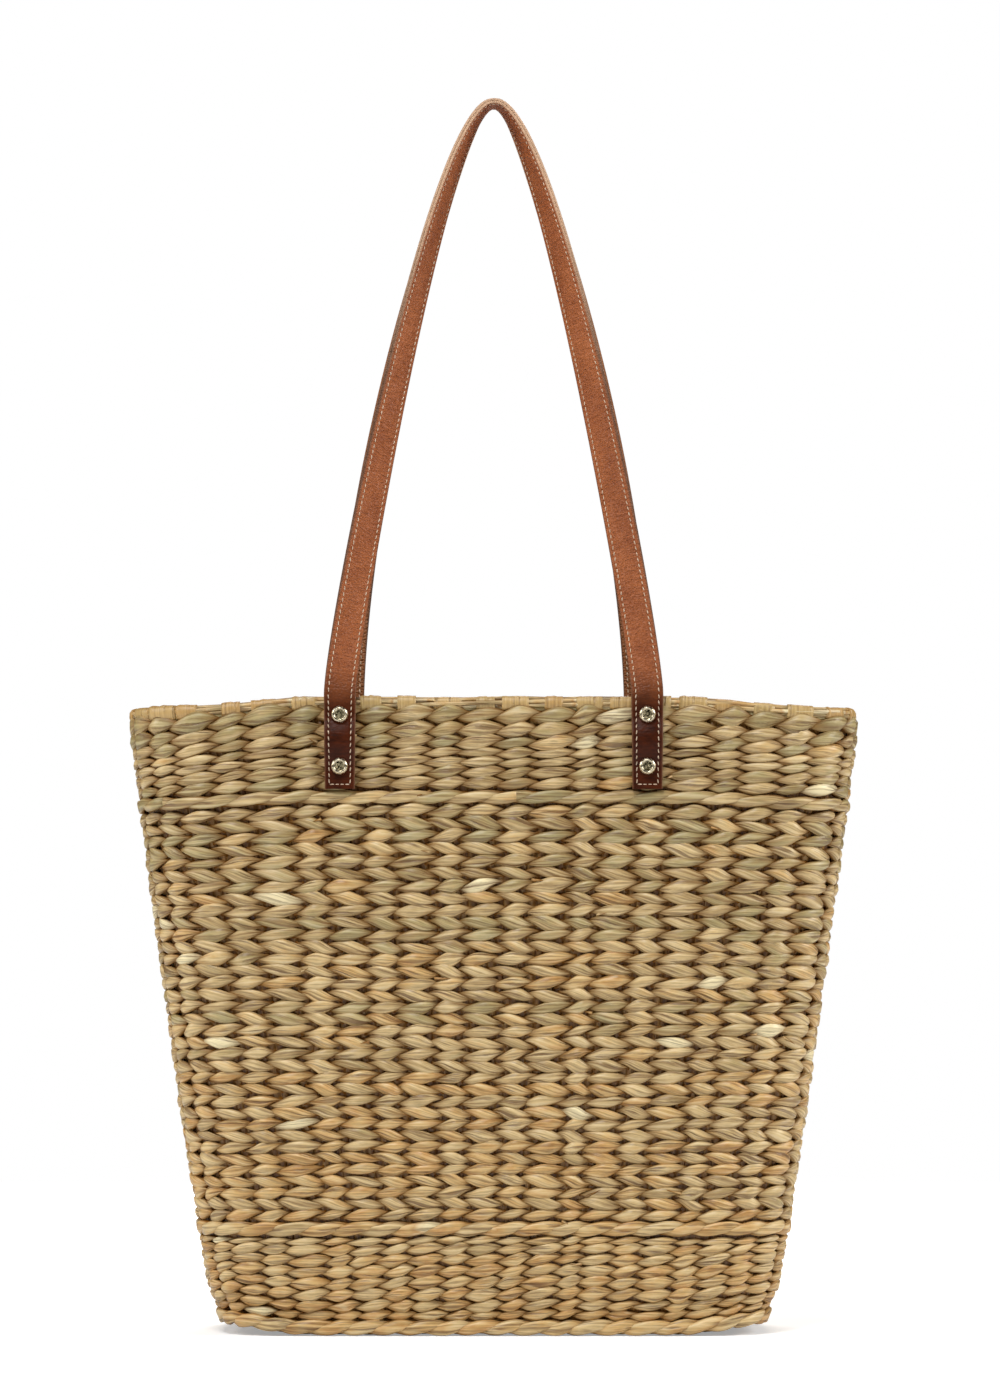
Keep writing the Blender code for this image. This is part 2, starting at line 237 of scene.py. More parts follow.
# The straps, with the same sizes as the solids
STRAP_WIDTH = 0.0170
STRAP_HALF_SPACING = 0.0814
FRONT_RISE = 0.3283
BACK_RISE = 0.3315
FRONT_LEG_REACH = 0.026
BACK_LEG_REACH = 0.121
FRONT_TOP_REACH = 0.030
BACK_TOP_REACH = 0.021
LEFT_TWIST_POWER = 1.04
RIGHT_TWIST_POWER = 1.44
FOLD_RADIUS = 0.005
FOLD_ABOVE_RIM = 0.001
STRAP_MIDDLE_OUT = 0.00195
TOPS_HALF_GAP = 0.0005
UPPER_RIVET_DROP = 0.0098
LOWER_RIVET_HEIGHT = 0.0120
PLY = 0.00163
STRAP_STEP = 0.002
TAB_STEPS = 60
LEG_STEPS = 260
BELLY = 0.0032
BELLY_POWER = 1.5
TAB_NARROWING = 0.07
TAB_FADE = 0.030
FACE_CROWN = 0.00025
LINING_CROWN = 0.00008
STITCH_PITCH = 0.0032
STITCH_LENGTH = 0.0023
THREAD_RADIUS = 0.00029
STITCH_INSET = 0.0024
STITCH_SIDES = 6
STITCH_SHAPE = ((-0.5, 0.45), (-0.36, 0.95), (0.0, 1.0), (0.36, 0.95), (0.5, 0.45))
STITCH_SLEW = 0.18
STITCH_SUNK = 0.00008
STITCH_DIP = 1.1
END_STITCHES = 4
END_STITCH_PROUD = 0.00018
# How far round the loop's top the cut edges' painted highlight reaches, and where it has faded into brown
PAINTED_LIT_EDGE_REACH = 0.05
BROWN_EDGE_REACH = 0.19

# The rivets and the patches behind them
CAP_RADIUS = 0.0045
CAP_EDGE = 0.0012
CAP_NOTCHES = 26
NOTCH_DEPTH = 0.00012
CAP_ROUNDING = 0.00010
NOTCHED_FROM = 0.86
SUNK_WITHIN = 0.58

# The cap's top from its edge to its middle: how far each step is drawn in, and then raised or sunk
CAP_STEPS = (
    (0.00045, 0.00075),
    (0.00055, 0.00045),
    (0.00050, -0.00005),
    (0.00035, -0.00050),
    (0.00060, 0.00012),
    (0.00090, 0.00010),
)
PATCH_THICKNESS = 0.0014
PATCH_ROUNDING = 0.3
PRESSED_LEVEL = 0.0001
PRESSED_ASIDE = 0.0012
PRESSED_BELOW = 0.001
SMOOTH_ANGLE = math.radians(50)

# The photograph's camera
CAMERA_PLACE = (0.0034, -2.675, 0.174)
CAMERA_AIM = (0.0034, -0.075, 0.336)
CAMERA_LENS = 126.4
CAMERA_SENSOR = 36.0

# The studio's light
ROOM_LIGHT = 0.03
FLOOR_GLOW = 0.34
SHADOW_REACH = 0.45
FLOOR_SIZE = 4.4
LIGHT_AIM = (0.0, 0.0, 0.25)


# Materials


def colour(hex_code):
    """A colour written as sRGB hex, as the linear values that a shader takes."""
    values = [int(hex_code[i:i + 2], 16) / 255 for i in (1, 3, 5)]
    return [v / 12.92 if v <= 0.04045 else ((v + 0.055) / 1.055) ** 2.4 for v in values] + [1.0]


def set_up(tree, node, settings, links=None):
    """Gives a node its settings, by socket or by property, and links its sockets to other outputs."""
    for name, value in settings.items():
        if name == "stops":
            ramp = node.color_ramp
            while len(ramp.elements) < len(value):
                ramp.elements.new(0.5)
            for element, (place, hex_code) in zip(ramp.elements, value):
                element.position = place
                element.color = colour(hex_code)
        elif isinstance(name, int) or name in node.inputs:
            node.inputs[name].default_value = value
        else:
            setattr(node, name, value)
    for name, output in (links or {}).items():
        tree.links.new(output, node.inputs[name])
    return node


def add_node(tree, kind, settings, links=None, output=0):
    """One output of a new shader node that has these settings and links."""
    return set_up(tree, tree.nodes.new("ShaderNode" + kind), settings, links).outputs[output]


def new_material(name):
    """An empty material, its node tree and its principled shader."""
    material = bpy.data.materials.new(name)
    material.use_nodes = True
    tree = material.node_tree
    return material, tree, tree.nodes["Principled BSDF"]


def attribute(tree, name, output="Fac"):
    """What a mesh's attribute gives a material."""
    return add_node(tree, "Attribute", {"attribute_name": name}, None, output)


def laid_out(tree, place, sizes):
    """The link that gives a pattern's grains these sizes along, across and through."""
    return {"Vector": add_node(tree, "Mapping", {"Scale": [1 / size for size in sizes]}, {"Vector": place})}


def dried_rush(name, stops, palest, darkest, hollow_shade_colour):
    """Dried rush, hand twisted while damp: satin, streaked along its fibres, each length its own tan.

    The tint attribute picks the length's colour, and the fibre attribute holds metres along and across.
    The proud attribute is 1 where the straw stands furthest out, and falls into its hollows, where the
    colour darkens as painted shade.
    """
    material, tree, shader = new_material(name)
    fibre = attribute(tree, "fibre", "Vector")
    proud = attribute(tree, "proud")
    patterns = {}
    for pattern, sizes, detail in (
        ("streaks", (0.040, 0.0012, 0.0012), 3.0),
        ("folds", (0.030, 0.0024, 0.0024), 2.0),
        ("blotches", (0.012, 0.0040, 0.0040), 2.0),
    ):
        noise = {"Scale": 1.0, "Detail": detail, "Roughness": 0.55}
        patterns[pattern] = add_node(tree, "TexNoise", noise, laid_out(tree, fibre, sizes))
    shares = {}
    # One of these shares darkens the straw where it falls into its hollows: painted shade
    for use, source, low, high, at_low, at_high in (
        ("drift", patterns["blotches"], 0.25, 0.75, -0.18, 0.18),
        ("streaks", patterns["streaks"], 0.32, 0.54, 0.72, 0.0),
        ("pale_fibres_and_highlights", patterns["streaks"], 0.52, 0.70, 0.0, PALE_FIBRE_HIGHLIGHT),
        ("folds", patterns["folds"], 0.31, 0.41, 0.0, 1.0),
        ("cracks", patterns["folds"], 0.31, 0.41, DARK_CRACK, 0.0),
        ("painted_hollow_shade", proud, 0.05, 0.90, 0.86, 0.0),
        ("sheen", proud, 0.20, 0.80, 0.0, 0.65),
    ):
        limits = {"From Min": low, "From Max": high, "To Min": at_low, "To Max": at_high}
        limits["interpolation_type"] = "SMOOTHSTEP" if use == "painted_hollow_shade" else "LINEAR"
        shares[use] = add_node(tree, "MapRange", limits, {"Value": source})
    place = add_node(tree, "Math", {"operation": "ADD"}, {0: attribute(tree, "tint"), 1: shares["drift"]})
    tone = add_node(tree, "ValToRGB", {"stops": stops}, {"Fac": place})
    # The palest fibres, on the ridges of the bump, are partly the straw's own and partly painted highlights
    for use, shade in (
        ("streaks", darkest),
        ("pale_fibres_and_highlights", palest),
        ("cracks", darkest),
        ("painted_hollow_shade", hollow_shade_colour),
    ):
        mix = {"data_type": "RGBA", 7: colour(shade)}
        tone = add_node(tree, "Mix", mix, {0: shares[use], 6: tone}, 2)
    height = {"operation": "MULTIPLY_ADD", 1: 0.45}
    relief = add_node(tree, "Math", height, {0: patterns["streaks"], 2: shares["folds"]})
    bump = add_node(tree, "Bump", {"Strength": 0.75, "Distance": 0.0007}, {"Height": relief})
    links = {"Base Color": tone, "Normal": bump, "Specular IOR Level": shares["sheen"]}
    set_up(tree, shader, {"Roughness": 0.44}, links)
    return material


RUSH_COLOURS = (
    (0.00, "#A29362"),
    (0.16, "#B29E68"),
    (0.34, "#C3A670"),
    (0.52, "#D8BC85"),
    (0.68, "#D6AF6E"),
    (0.82, "#C99755"),
    (1.00, "#F4E4B4"),
)
STAKE_COLOURS = ((0.00, "#7E5420"), (0.40, "#A87C3C"), (0.65, "#B79A5E"), (1.00, "#CBB078"))
LEAF_COLOURS = ((0.00, "#B79A60"), (0.45, "#C6A468"), (1.00, "#BE9658"))
# The straps' cut edges: brown, and pale round the loop's top as a painted highlight from the light above
BROWN_EDGE = "#6E4A34"
PAINTED_LIT_EDGE = "#D0AA8A"


def tan_leather(name, low, high, tab_low, tab_high):
    """Vegetable-tanned cowhide, rolled and waxed: a fine pebbled grain with cross creases, satin gloss.

    The hide attribute holds metres along, across and through the strap. The tab attribute is 1 on the
    riveted ends, where the leather is darker and pulled smooth. The cut_edge attribute is 1 on the cut
    edges, and one more attribute is 1 round the loop's top, where those edges are painted pale as a
    highlight from the light above.
    """
    material, tree, shader = new_material(name)
    hide = attribute(tree, "hide", "Vector")
    tab = attribute(tree, "tab")
    grain = {"feature": "SMOOTH_F1", "Scale": 1.0, "Smoothness": 0.6}
    pebbles = add_node(tree, "TexVoronoi", grain, laid_out(tree, hide, (0.0009, 0.0015, 0.0012)))
    noise = {"Scale": 1.0, "Detail": 3.0}
    clouds = add_node(tree, "TexNoise", noise, laid_out(tree, hide, (0.0300, 0.0110, 0.0110)))
    noise["Roughness"] = 0.55
    creases = add_node(tree, "TexNoise", noise, laid_out(tree, hide, (0.0013, 0.0060, 0.0060)))
    cloud = add_node(tree, "MapRange", {"To Max": 0.45}, {"Value": clouds})
    tone = add_node(tree, "Math", {"operation": "MULTIPLY_ADD", 1: 0.55}, {0: creases, 2: cloud})
    shades = []
    for dark, light in ((low, high), (tab_low, tab_high)):
        stops = ((0.30, dark), (0.66, light))
        shades.append(add_node(tree, "ValToRGB", {"stops": stops}, {"Fac": tone}))
    mix = {"data_type": "RGBA"}
    # The cut edges: brown, and pale round the loop's top as a painted highlight
    edges = {"data_type": "RGBA", 6: colour(BROWN_EDGE), 7: colour(PAINTED_LIT_EDGE)}
    aged = add_node(tree, "Mix", mix, {0: tab, 6: shades[0], 7: shades[1]}, 2)
    edge_tone = add_node(tree, "Mix", edges, {0: attribute(tree, "rubbed")}, 2)
    relief = add_node(tree, "Math", {"operation": "MULTIPLY_ADD", 1: 0.8}, {0: creases, 2: pebbles})
    pulled = {}
    for use, on_loop, on_tab in (("grain", 0.95, 0.15), ("roughness", 0.44, 0.38), ("shine", 0.28, 0.12)):
        pulled[use] = add_node(tree, "MapRange", {"To Min": on_loop, "To Max": on_tab}, {"Value": tab})
    bumps = {"Strength": pulled["grain"], "Height": relief}
    links = {
        "Base Color": add_node(tree, "Mix", mix, {0: attribute(tree, "cut_edge"), 6: aged, 7: edge_tone}, 2),
        "Normal": add_node(tree, "Bump", {"Distance": 0.0009}, bumps),
        "Roughness": pulled["roughness"],
        "Specular IOR Level": pulled["shine"],
    }
    set_up(tree, shader, {}, links)
    return material


def waxed_thread():
    """Waxed linen thread: pale cream, with the slight sheen and ply marks of a twisted cord."""
    material, tree, shader = new_material("waxed_linen_thread")
    place = add_node(tree, "TexCoord", {}, None, "Object")
    ply = add_node(tree, "TexNoise", {"Scale": 1 / 0.0006, "Detail": 1.0}, {"Vector": place})
    stops = ((0.3, "#B4967A"), (0.7, "#E4D0B6"))
    shade = add_node(tree, "ValToRGB", {"stops": stops}, {"Fac": ply})
    set_up(tree, shader, {"Roughness": 0.55}, {"Base Color": shade})
    return material


def plated_nickel():
    """Nickel plate, stamped and tumbled: bright on the rim, dark and hammered where the middle is sunk."""
    material, tree, shader = new_material("nickel_plate")
    place = add_node(tree, "TexCoord", {}, None, "Object")
    sunk = attribute(tree, "sunk")
    noise = {"Scale": 1 / 0.0011, "Detail": 2.0, "Roughness": 0.6}
    marks = add_node(tree, "TexNoise", noise, {"Vector": place})
    limits = {"From Min": 0.3, "From Max": 0.7, "To Min": 0.18, "To Max": 0.36}
    shades = []
    for stops in (((0.35, "#C4B698"), (0.65, "#EFE4C8")), ((0.40, "#42381F"), (0.58, "#C6B892"))):
        shades.append(add_node(tree, "ValToRGB", {"stops": stops}, {"Fac": marks}))
    depth = add_node(tree, "MapRange", {"To Min": 0.08, "To Max": 0.8}, {"Value": sunk})
    bumps = {"Strength": depth, "Height": marks}
    links = {
        "Base Color": add_node(tree, "Mix", {"data_type": "RGBA"}, {0: sunk, 6: shades[0], 7: shades[1]}, 2),
        "Normal": add_node(tree, "Bump", {"Distance": 0.0005}, bumps),
        "Roughness": add_node(tree, "MapRange", limits, {"Value": marks}),
    }
    set_up(tree, shader, {"Metallic": 1.0}, links)
    return material


# The last colour of each is the painted shade in the straw's hollows
RUSH = dried_rush("dried_rush_twining", RUSH_COLOURS, "#F0DEB4", "#603A0C", "#744104")
STAKE_RUSH = dried_rush("dried_rush_stakes", STAKE_COLOURS, "#C8AC74", "#5A3408", "#5E3604")
LEAF = dried_rush("dried_leaf_binding", LEAF_COLOURS, "#D8BE88", "#9A7846", "#8A6430")
FACE_LEATHER = tan_leather("tan_leather_face", "#82421E", "#A86034", "#220C05", "#4E200B")
LINING_LEATHER = tan_leather("tan_leather_lining", "#82502C", "#A0643A", "#2C140A", "#562814")
THREAD = waxed_thread()
NICKEL = plated_nickel()


# Paths and meshes


def gone_along(points):
    """How far along a path each of its points lies."""
    steps = np.linalg.norm(np.diff(points, axis=0), axis=1)
    return np.concatenate(([0.0], np.cumsum(steps)))


def read_at(places, marks, rows):
    """Rows of three values, read between their marks."""
    return np.stack([np.interp(places, marks, rows[:, i]) for i in range(3)], axis=1)


def new_piece(name, points, faces, material):
    """A mesh object in the scene, at the origin."""
    mesh = bpy.data.meshes.new(name)
    mesh.from_pydata(points.tolist(), [], faces)
    mesh.materials.append(material)
    made = bpy.data.objects.new(name, mesh)
    bpy.context.collection.objects.link(made)
    return made


def write(made, name, values):
    """Gives each point of a piece a value, or a vector, that its material reads."""
    values = np.asarray(values, np.float32)
    kind, field = ("FLOAT", "value") if values.ndim == 1 else ("FLOAT_VECTOR", "vector")
    made.data.attributes.new(name, kind, "POINT").data.foreach_set(field, values.ravel())


def tube_faces(rings, sides, first):
    """The faces of a closed tube whose points go round it, ring by ring."""
    start = first + np.arange(rings - 1)[:, None] * sides
    here = np.arange(sides)[None]
    following = (here + 1) % sides
    corners = (start + here, start + following, start + sides + following, start + sides + here)
    last = first + (rings - 1) * sides
    ends = [list(range(first, first + sides))[::-1], list(range(last, last + sides))]
    return np.stack(corners, axis=2).reshape(-1, 4).tolist() + ends


# The wall's shape


WEAVE_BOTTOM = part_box("lower_weave")[0].z


def level_of(node):
    """The middle height and half height of a solid."""
    low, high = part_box(node)
    return (low.z + high.z) / 2, (high.z - low.z) / 2


def tuck(z):
    """How far the foot of the wall is drawn in over the foot rope."""
    return FOOT_TUCK * min(max(1 - (z - WEAVE_BOTTOM) / FOOT_TUCK_HEIGHT, 0.0), 1.0)


def bow(share):
    """How far the wall swells out at a share of its height."""
    return WALL_BOW * 4 * share * (1 - share)


def half_depth(z):
    share = z / BAG_HEIGHT
    return FOOT_HALF_DEPTH + (RIM_HALF_DEPTH - FOOT_HALF_DEPTH) * share + bow(share)


def ring(z, inset):
    """Points round the basket at one height, from +X towards +Y, and how far round each one lies."""
    share = z / BAG_HEIGHT
    straight = FOOT_STRAIGHT + (RIM_STRAIGHT - FOOT_STRAIGHT) * share
    end = FOOT_HALF_WIDTH + (RIM_HALF_WIDTH - FOOT_HALF_WIDTH) * share + bow(share) - inset - straight
    depth = half_depth(z) - inset
    turn = np.linspace(0, math.pi / 2, RING_STEPS)
    x = straight + end * np.cos(turn).clip(0) ** (2 / END_SQUARENESS)
    y = depth * np.sin(turn) ** (2 / END_SQUARENESS)
    x = np.concatenate((x, -x[::-1], -x, x[::-1]))
    y = np.concatenate((y, y[::-1], -y, -y[::-1]))
    points = np.stack((x, y, np.full_like(x, z)), axis=1)
    return points, gone_along(points)


def on_wall(shares, z, inset):
    """Points at these shares of the way round, at one height."""
    points, gone = ring(z, inset)
    return read_at(np.mod(shares, 1.0), gone / gone[-1], points)


def unit(vectors):
    return vectors / np.linalg.norm(vectors, axis=1, keepdims=True)


def wall_frame(shares, z, inset):
    """Where a strand lies on the wall, and the directions out of the wall and up it.

    The directions come from a short reach, in metres up the wall and as a share of the way round.
    """
    reach = 0.002
    here = on_wall(shares, z, inset + tuck(z))
    above = on_wall(shares, z + reach, inset + tuck(z + reach))
    below = on_wall(shares, z - reach, inset + tuck(z - reach))
    up = unit(above - below)
    along = on_wall(shares + reach, z, inset) - on_wall(shares - reach, z, inset)
    return here, unit(np.cross(along, up)), up


def base_frame(shares, z, inset):
    """As wall_frame, for a ring of the base: out is down, and up is towards the middle."""
    reach = 0.0005
    here = on_wall(shares, z, inset)
    return here, (0.0, 0.0, -1.0), unit(on_wall(shares, z, inset + reach) - here)


def eased(value, start, end):
    """A smooth rise from 0 at start to 1 at end."""
    share = ((value - start) / (end - start)).clip(0, 1)
    return share * share * (3 - 2 * share)


def grown(share, start, gain):
    """A value that is start where the share is 0, and has gained this much where it is 1."""
    return start + gain * share


def settled(points):
    """The straw's points after the rim has drooped and the foot has lifted towards the ends."""
    points = points.copy()
    reach = np.abs(points[:, 0])
    z = points[:, 2]
    droop = RIM_DROOP * eased(reach, SETTLED_FROM, DROOP_TO) * eased(z, DROOP_BOTTOM, BAG_HEIGHT)
    lift = FOOT_LIFT * eased(reach, SETTLED_FROM, FOOT_HALF_WIDTH) * (1 - eased(z, 0.0, LIFT_TOP))
    rounded = FOOT_ROUNDING * eased(reach, ROUNDING_FROM, FOOT_HALF_WIDTH) * (1 - eased(z, 0.0, ROUNDING_TOP))
    points[:, 0] -= np.sign(points[:, 0]) * rounded
    points[:, 2] = (z - droop + lift).clip(min=LOWEST)
    return points


def pressed(points):
    """The straw's points, held down by the strap ends outside and the leather patches inside."""
    points = points.copy()
    under = np.abs(np.abs(points[:, 0]) - STRAP_HALF_SPACING) < STRAP_WIDTH / 2 + PRESSED_ASIDE
    under &= points[:, 2] > SEAT_BOTTOM - PRESSED_BELOW
    for turn in (1.0, -1.0):
        side = np.array((turn, turn, 1.0))
        proud = ((points * side - SEAT_ORIGIN) * SEAT_OUT).sum(axis=1)
        top = np.where(under, PRESSED_LEVEL, 1.0)
        bottom = np.where(under & (proud > -2 * WALL), -WALL - PRESSED_LEVEL, -1.0)
        moved = proud.clip(bottom, top) - proud
        points += moved[:, None] * SEAT_OUT * side
    return points


# Where the strap ends lie on the wall


SEAT_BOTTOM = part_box("upper_weave")[0].z
SEAT_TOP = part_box("upper_weave")[1].z
WALL_LEAN = math.atan2(half_depth(SEAT_TOP) - half_depth(SEAT_BOTTOM), SEAT_TOP - SEAT_BOTTOM)
SEAT_UP = np.array((0.0, -math.sin(WALL_LEAN), math.cos(WALL_LEAN)))
SEAT_OUT = np.array((0.0, -math.cos(WALL_LEAN), -math.sin(WALL_LEAN)))
SEAT_ORIGIN = np.array((0.0, -half_depth(SEAT_BOTTOM), SEAT_BOTTOM))
TAB_LENGTH = (BAG_HEIGHT + FOLD_ABOVE_RIM - SEAT_BOTTOM) / math.cos(WALL_LEAN)
UPPER_RIVET_HEIGHT = (BAG_HEIGHT - UPPER_RIVET_DROP - SEAT_BOTTOM) / math.cos(WALL_LEAN)
FOLD_LINE = SEAT_ORIGIN + SEAT_UP * TAB_LENGTH + SEAT_OUT * (STRAP_MIDDLE_OUT + FOLD_RADIUS)


# Strands


def squared(wave):
    """A cosine or sine filled out, so that a straw's oval section gets a flatter face."""
    return np.sign(wave) * np.abs(wave) ** (2 / STRAW_SQUARENESS)


class Bundle:
    """Strands gathered into one mesh, with the attributes that their material reads."""

    def __init__(self):
        self.points = []
        self.faces = []
        self.fibre = []
        self.tint = []
        self.proud = []
        self.count = 0

    def lay(self, line, half_out, half_up, tint, sides, ridged=True, fibres="along", swing=0.0, climb=0.0):
        """One strand of oval section, closed at both ends.

        The line is the strand's middle and its directions out and up, and swing and climb move it that way.
        The fibres run along the strand or round it. A direction, half, tint or move can be one for all of it.
        """
        rings = len(line[0])
        middle, out, up = (np.broadcast_to(rows, (rings, 3)) for rows in line)
        columns = (np.broadcast_to(value, rings)[:, None] for value in (half_out, half_up, swing, climb))
        half_out, half_up, swing, climb = columns
        middle = middle + out * swing + up * climb
        angle = np.arange(sides) * 2 * math.pi / sides
        length = gone_along(middle) + chance.uniform(0, FIBRE_START)
        turned = angle[None] + length[:, None] * 2 * math.pi / (RIDGES * RIDGE_TURN)
        swell = 1 + RIDGE_DEPTH * np.cos(RIDGES * turned) * ridged
        girth = (half_out.max() + half_up.max()) / 2
        reach_out = half_out * squared(np.cos(angle)) * swell
        reach_up = half_up * squared(np.sin(angle)) * swell
        points = middle[:, None] + reach_out[:, :, None] * out[:, None] + reach_up[:, :, None] * up[:, None]
        stands = np.abs(reach_out + swing)
        lengths = np.repeat(length[:, None], sides, axis=1)
        if fibres == "along":
            fibre = np.stack((lengths, girth * np.cos(turned), girth * np.sin(turned)), axis=2)
        else:
            fibre = np.stack((reach_up, lengths, np.zeros_like(lengths)), axis=2)
        faces = tube_faces(rings, sides, self.count)
        if np.dot(np.cross(out[0], up[0]), middle[1] - middle[0]) < 0:
            faces = [face[::-1] for face in faces]
        self.faces += faces
        self.points.append(points.reshape(-1, 3))
        self.fibre.append(fibre.reshape(-1, 3))
        tints = tint if np.ndim(tint) == 2 else np.reshape(tint, (-1, 1))
        self.tint.append(np.broadcast_to(tints, (rings, sides)).ravel())
        self.proud.append((stands / stands.max()).ravel())
        self.count += rings * sides

    def piece(self, name, material, slot, *nodes):
        """The strands as one mesh object on the basket, in the place of these solids."""
        points = pressed(settled(np.concatenate(self.points)))
        made = new_piece(name, points, self.faces, material)
        # How far each point stands out, lifted towards the foot and lowered towards the rim as painted light;
        # the material paints shade where this is low
        unshaded_share = np.concatenate(self.proud) + FOOT_PAINTED_FILL * (EVEN_SHADE_SHARE - points[:, 2] / BAG_HEIGHT)
        write(made, "fibre", np.concatenate(self.fibre))
        write(made, "tint", np.concatenate(self.tint))
        write(made, "proud", unshaded_share)
        made.data.shade_smooth()
        if nodes:
            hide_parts(*nodes)
        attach(made, "basket")


def crossing_shares(stakes):
    """Where the strands cross between stakes, as shares of the way round, wide and narrow by turns."""
    widths = 1 + WIDE_AND_NARROW * (-1.0) ** np.arange(stakes)
    widths += chance.normal(0, STAKE_JITTER, stakes)
    return np.concatenate(([0.0], np.cumsum(widths))) / widths.sum()


WALL_CROSSINGS = crossing_shares(STAKES)


def share_at(stake, crossings=WALL_CROSSINGS):
    """Share of the way round for a place counted in stakes, where a half lies on a crossing."""
    count = len(crossings) - 1
    whole = np.floor((stake - 0.5) / count)
    return whole + np.interp(stake - 0.5 - whole * count, np.arange(count + 1), crossings)


def row_wave(shares, z):
    """The hand's slight rise and fall along a row, alike in neighbouring rows."""
    return ROW_WAVE * sum(
        part * np.sin(2 * math.pi * (around * shares + upward * z) + phase)
        for part, around, upward, phase in ROW_WAVES
    )


def straw_tints(count, z):
    """Each stitch's colour along a strand: straws several stitches long, warmer at the foot, painted shade at
    the rim.
    """
    warmth_and_painted_shade = RIM_TINT + FOOT_TINT_GAIN * (1 - z / BAG_HEIGHT)
    tints = np.empty(count)
    i = 0
    while i < count:
        run = slice(i, i + int(chance.integers(*STRAW_STITCHES)))
        straw = chance.normal(warmth_and_painted_shade, STRAW_TINT_SPREAD)
        tints[run] = straw + chance.normal(0, STITCH_TINT_SPREAD, len(tints[run]))
        i = run.stop
    pale = chance.random(count) < PALE_STITCH_SHARE
    return np.where(pale, PALE_TINT, tints.clip(*TINT_LIMITS))


def twined_row(bundle, place, z, inset, crossings, slant, half_height, shape, strand_form):
    """Two strands that pass before and behind the stakes by turns, and cross between them.

    A slant of 1 rises to the right of someone who faces the wall from outside, and -1 falls. The shape is
    how full a stitch is against its row, and how far its ends reach past the stakes. The strand's form is
    its half thickness, and how far it swings out of the wall's middle.
    """
    fullness, overlap = shape
    thickness, swing = strand_form
    stakes = len(crossings) - 1
    nudge = chance.normal(0, STITCH_NUDGE, stakes)
    for strand in (0, 1):
        start = strand + 1 + 2 * int(chance.integers(0, stakes // 2))
        stake = start + np.linspace(0, stakes, stakes * STITCH_STEPS + 1)
        turn = math.pi * (stake - strand)
        nearest = np.arange(start, start + stakes + 1)
        plump = np.interp(stake, nearest, 1 + chance.normal(0, PLUMP_SPREAD, stakes + 1))
        shift = np.interp(stake, nearest, chance.normal(0, ASIDE_SPREAD * half_height, stakes + 1))
        stitch = np.rint((stake - start - 1) / 2).astype(int).clip(0)
        tint = straw_tints(stakes // 2 + 1, z)[stitch]
        steep = chance.normal(1, STEEP_SPREAD, stakes // 2 + 1)[stitch]
        nudged = stake + np.interp(stake, np.arange(stakes), nudge, period=stakes)
        shares = share_at(nudged, crossings)
        before = np.cos(turn) + overlap
        before /= np.where(before > 0, 1 + overlap, 1 - overlap)
        rise = np.sin(turn) * (1 - CURL + CURL * np.sin(turn) ** 2) * steep
        full = np.abs(before) ** np.where(before > 0, *FILL_POWERS)
        swung = np.sign(before) * np.abs(before) ** np.where(before > 0, *SWING_POWERS) * swing
        climb = slant * rise * CLIMB_SHARE * half_height + shift + row_wave(shares, z)
        half_up = half_height * (TIP_SHARE + (fullness - TIP_SHARE) * full) * plump
        half_out = thickness * (THINNEST + np.where(before > 0, *THICKENING) * full) * plump
        line = place(shares, z, inset)
        bundle.lay(line, half_out, half_up, tint, STRAND_SIDES, swing=swung, climb=climb)


def band_rows(node, shares):
    """The middle height and half height of each row in a band, from the top."""
    low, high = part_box(node)
    shares = np.array(shares)
    heights = (high.z - low.z) * shares / shares.sum()
    tops = high.z - np.concatenate(([0.0], np.cumsum(heights)[:-1]))
    return [(top - height / 2, height / 2) for top, height in zip(tops, heights)]


def weave_rows(name, rows, slants, shape, node):
    bundle = Bundle()
    form = (STRAND_HALF_THICKNESS, STRAND_SWING)
    for (z, half_height), slant in zip(rows, slants):
        twined_row(bundle, wall_frame, z, WALL / 2, WALL_CROSSINGS, slant, half_height, shape, form)
    bundle.piece(name, RUSH, "twined_straw", node)


def woven_bands():
    """Each band of the weave: its solid, its rows from the top, their slants, its stitch and its pieces."""
    upper = band_rows("upper_weave", UPPER_ROW_SHARES)
    upper[0] = (upper[0][0] + TOP_ROW_LIFT / 2, upper[0][1] + TOP_ROW_LIFT / 2)
    count = 1 + 2 * MIDDLE_PAIRS
    middle = band_rows("middle_weave", np.linspace(1 + MIDDLE_ROW_TAPER, 1 - MIDDLE_ROW_TAPER, count))
    lower = band_rows("lower_weave", LOWER_ROW_SHARES)
    return (
        ("upper_weave", upper, [1] * len(upper), PLAIN_STITCH, 1),
        ("middle_weave", middle, [1] + [-1, 1] * MIDDLE_PAIRS, ARROW_STITCH, MIDDLE_PIECES),
        ("lower_weave", lower, [1] * len(lower), PLAIN_STITCH, 1),
    )


def make_weave():
    for node, rows, slants, shape, pieces in woven_bands():
        each = math.ceil(len(rows) / pieces)
        for part in range(pieces):
            span = slice(part * each, (part + 1) * each)
            name = f"{node}_rows_{part + 1}" if pieces > 1 else node + "_rows"
            weave_rows(name, rows[span], slants[span], shape, node)


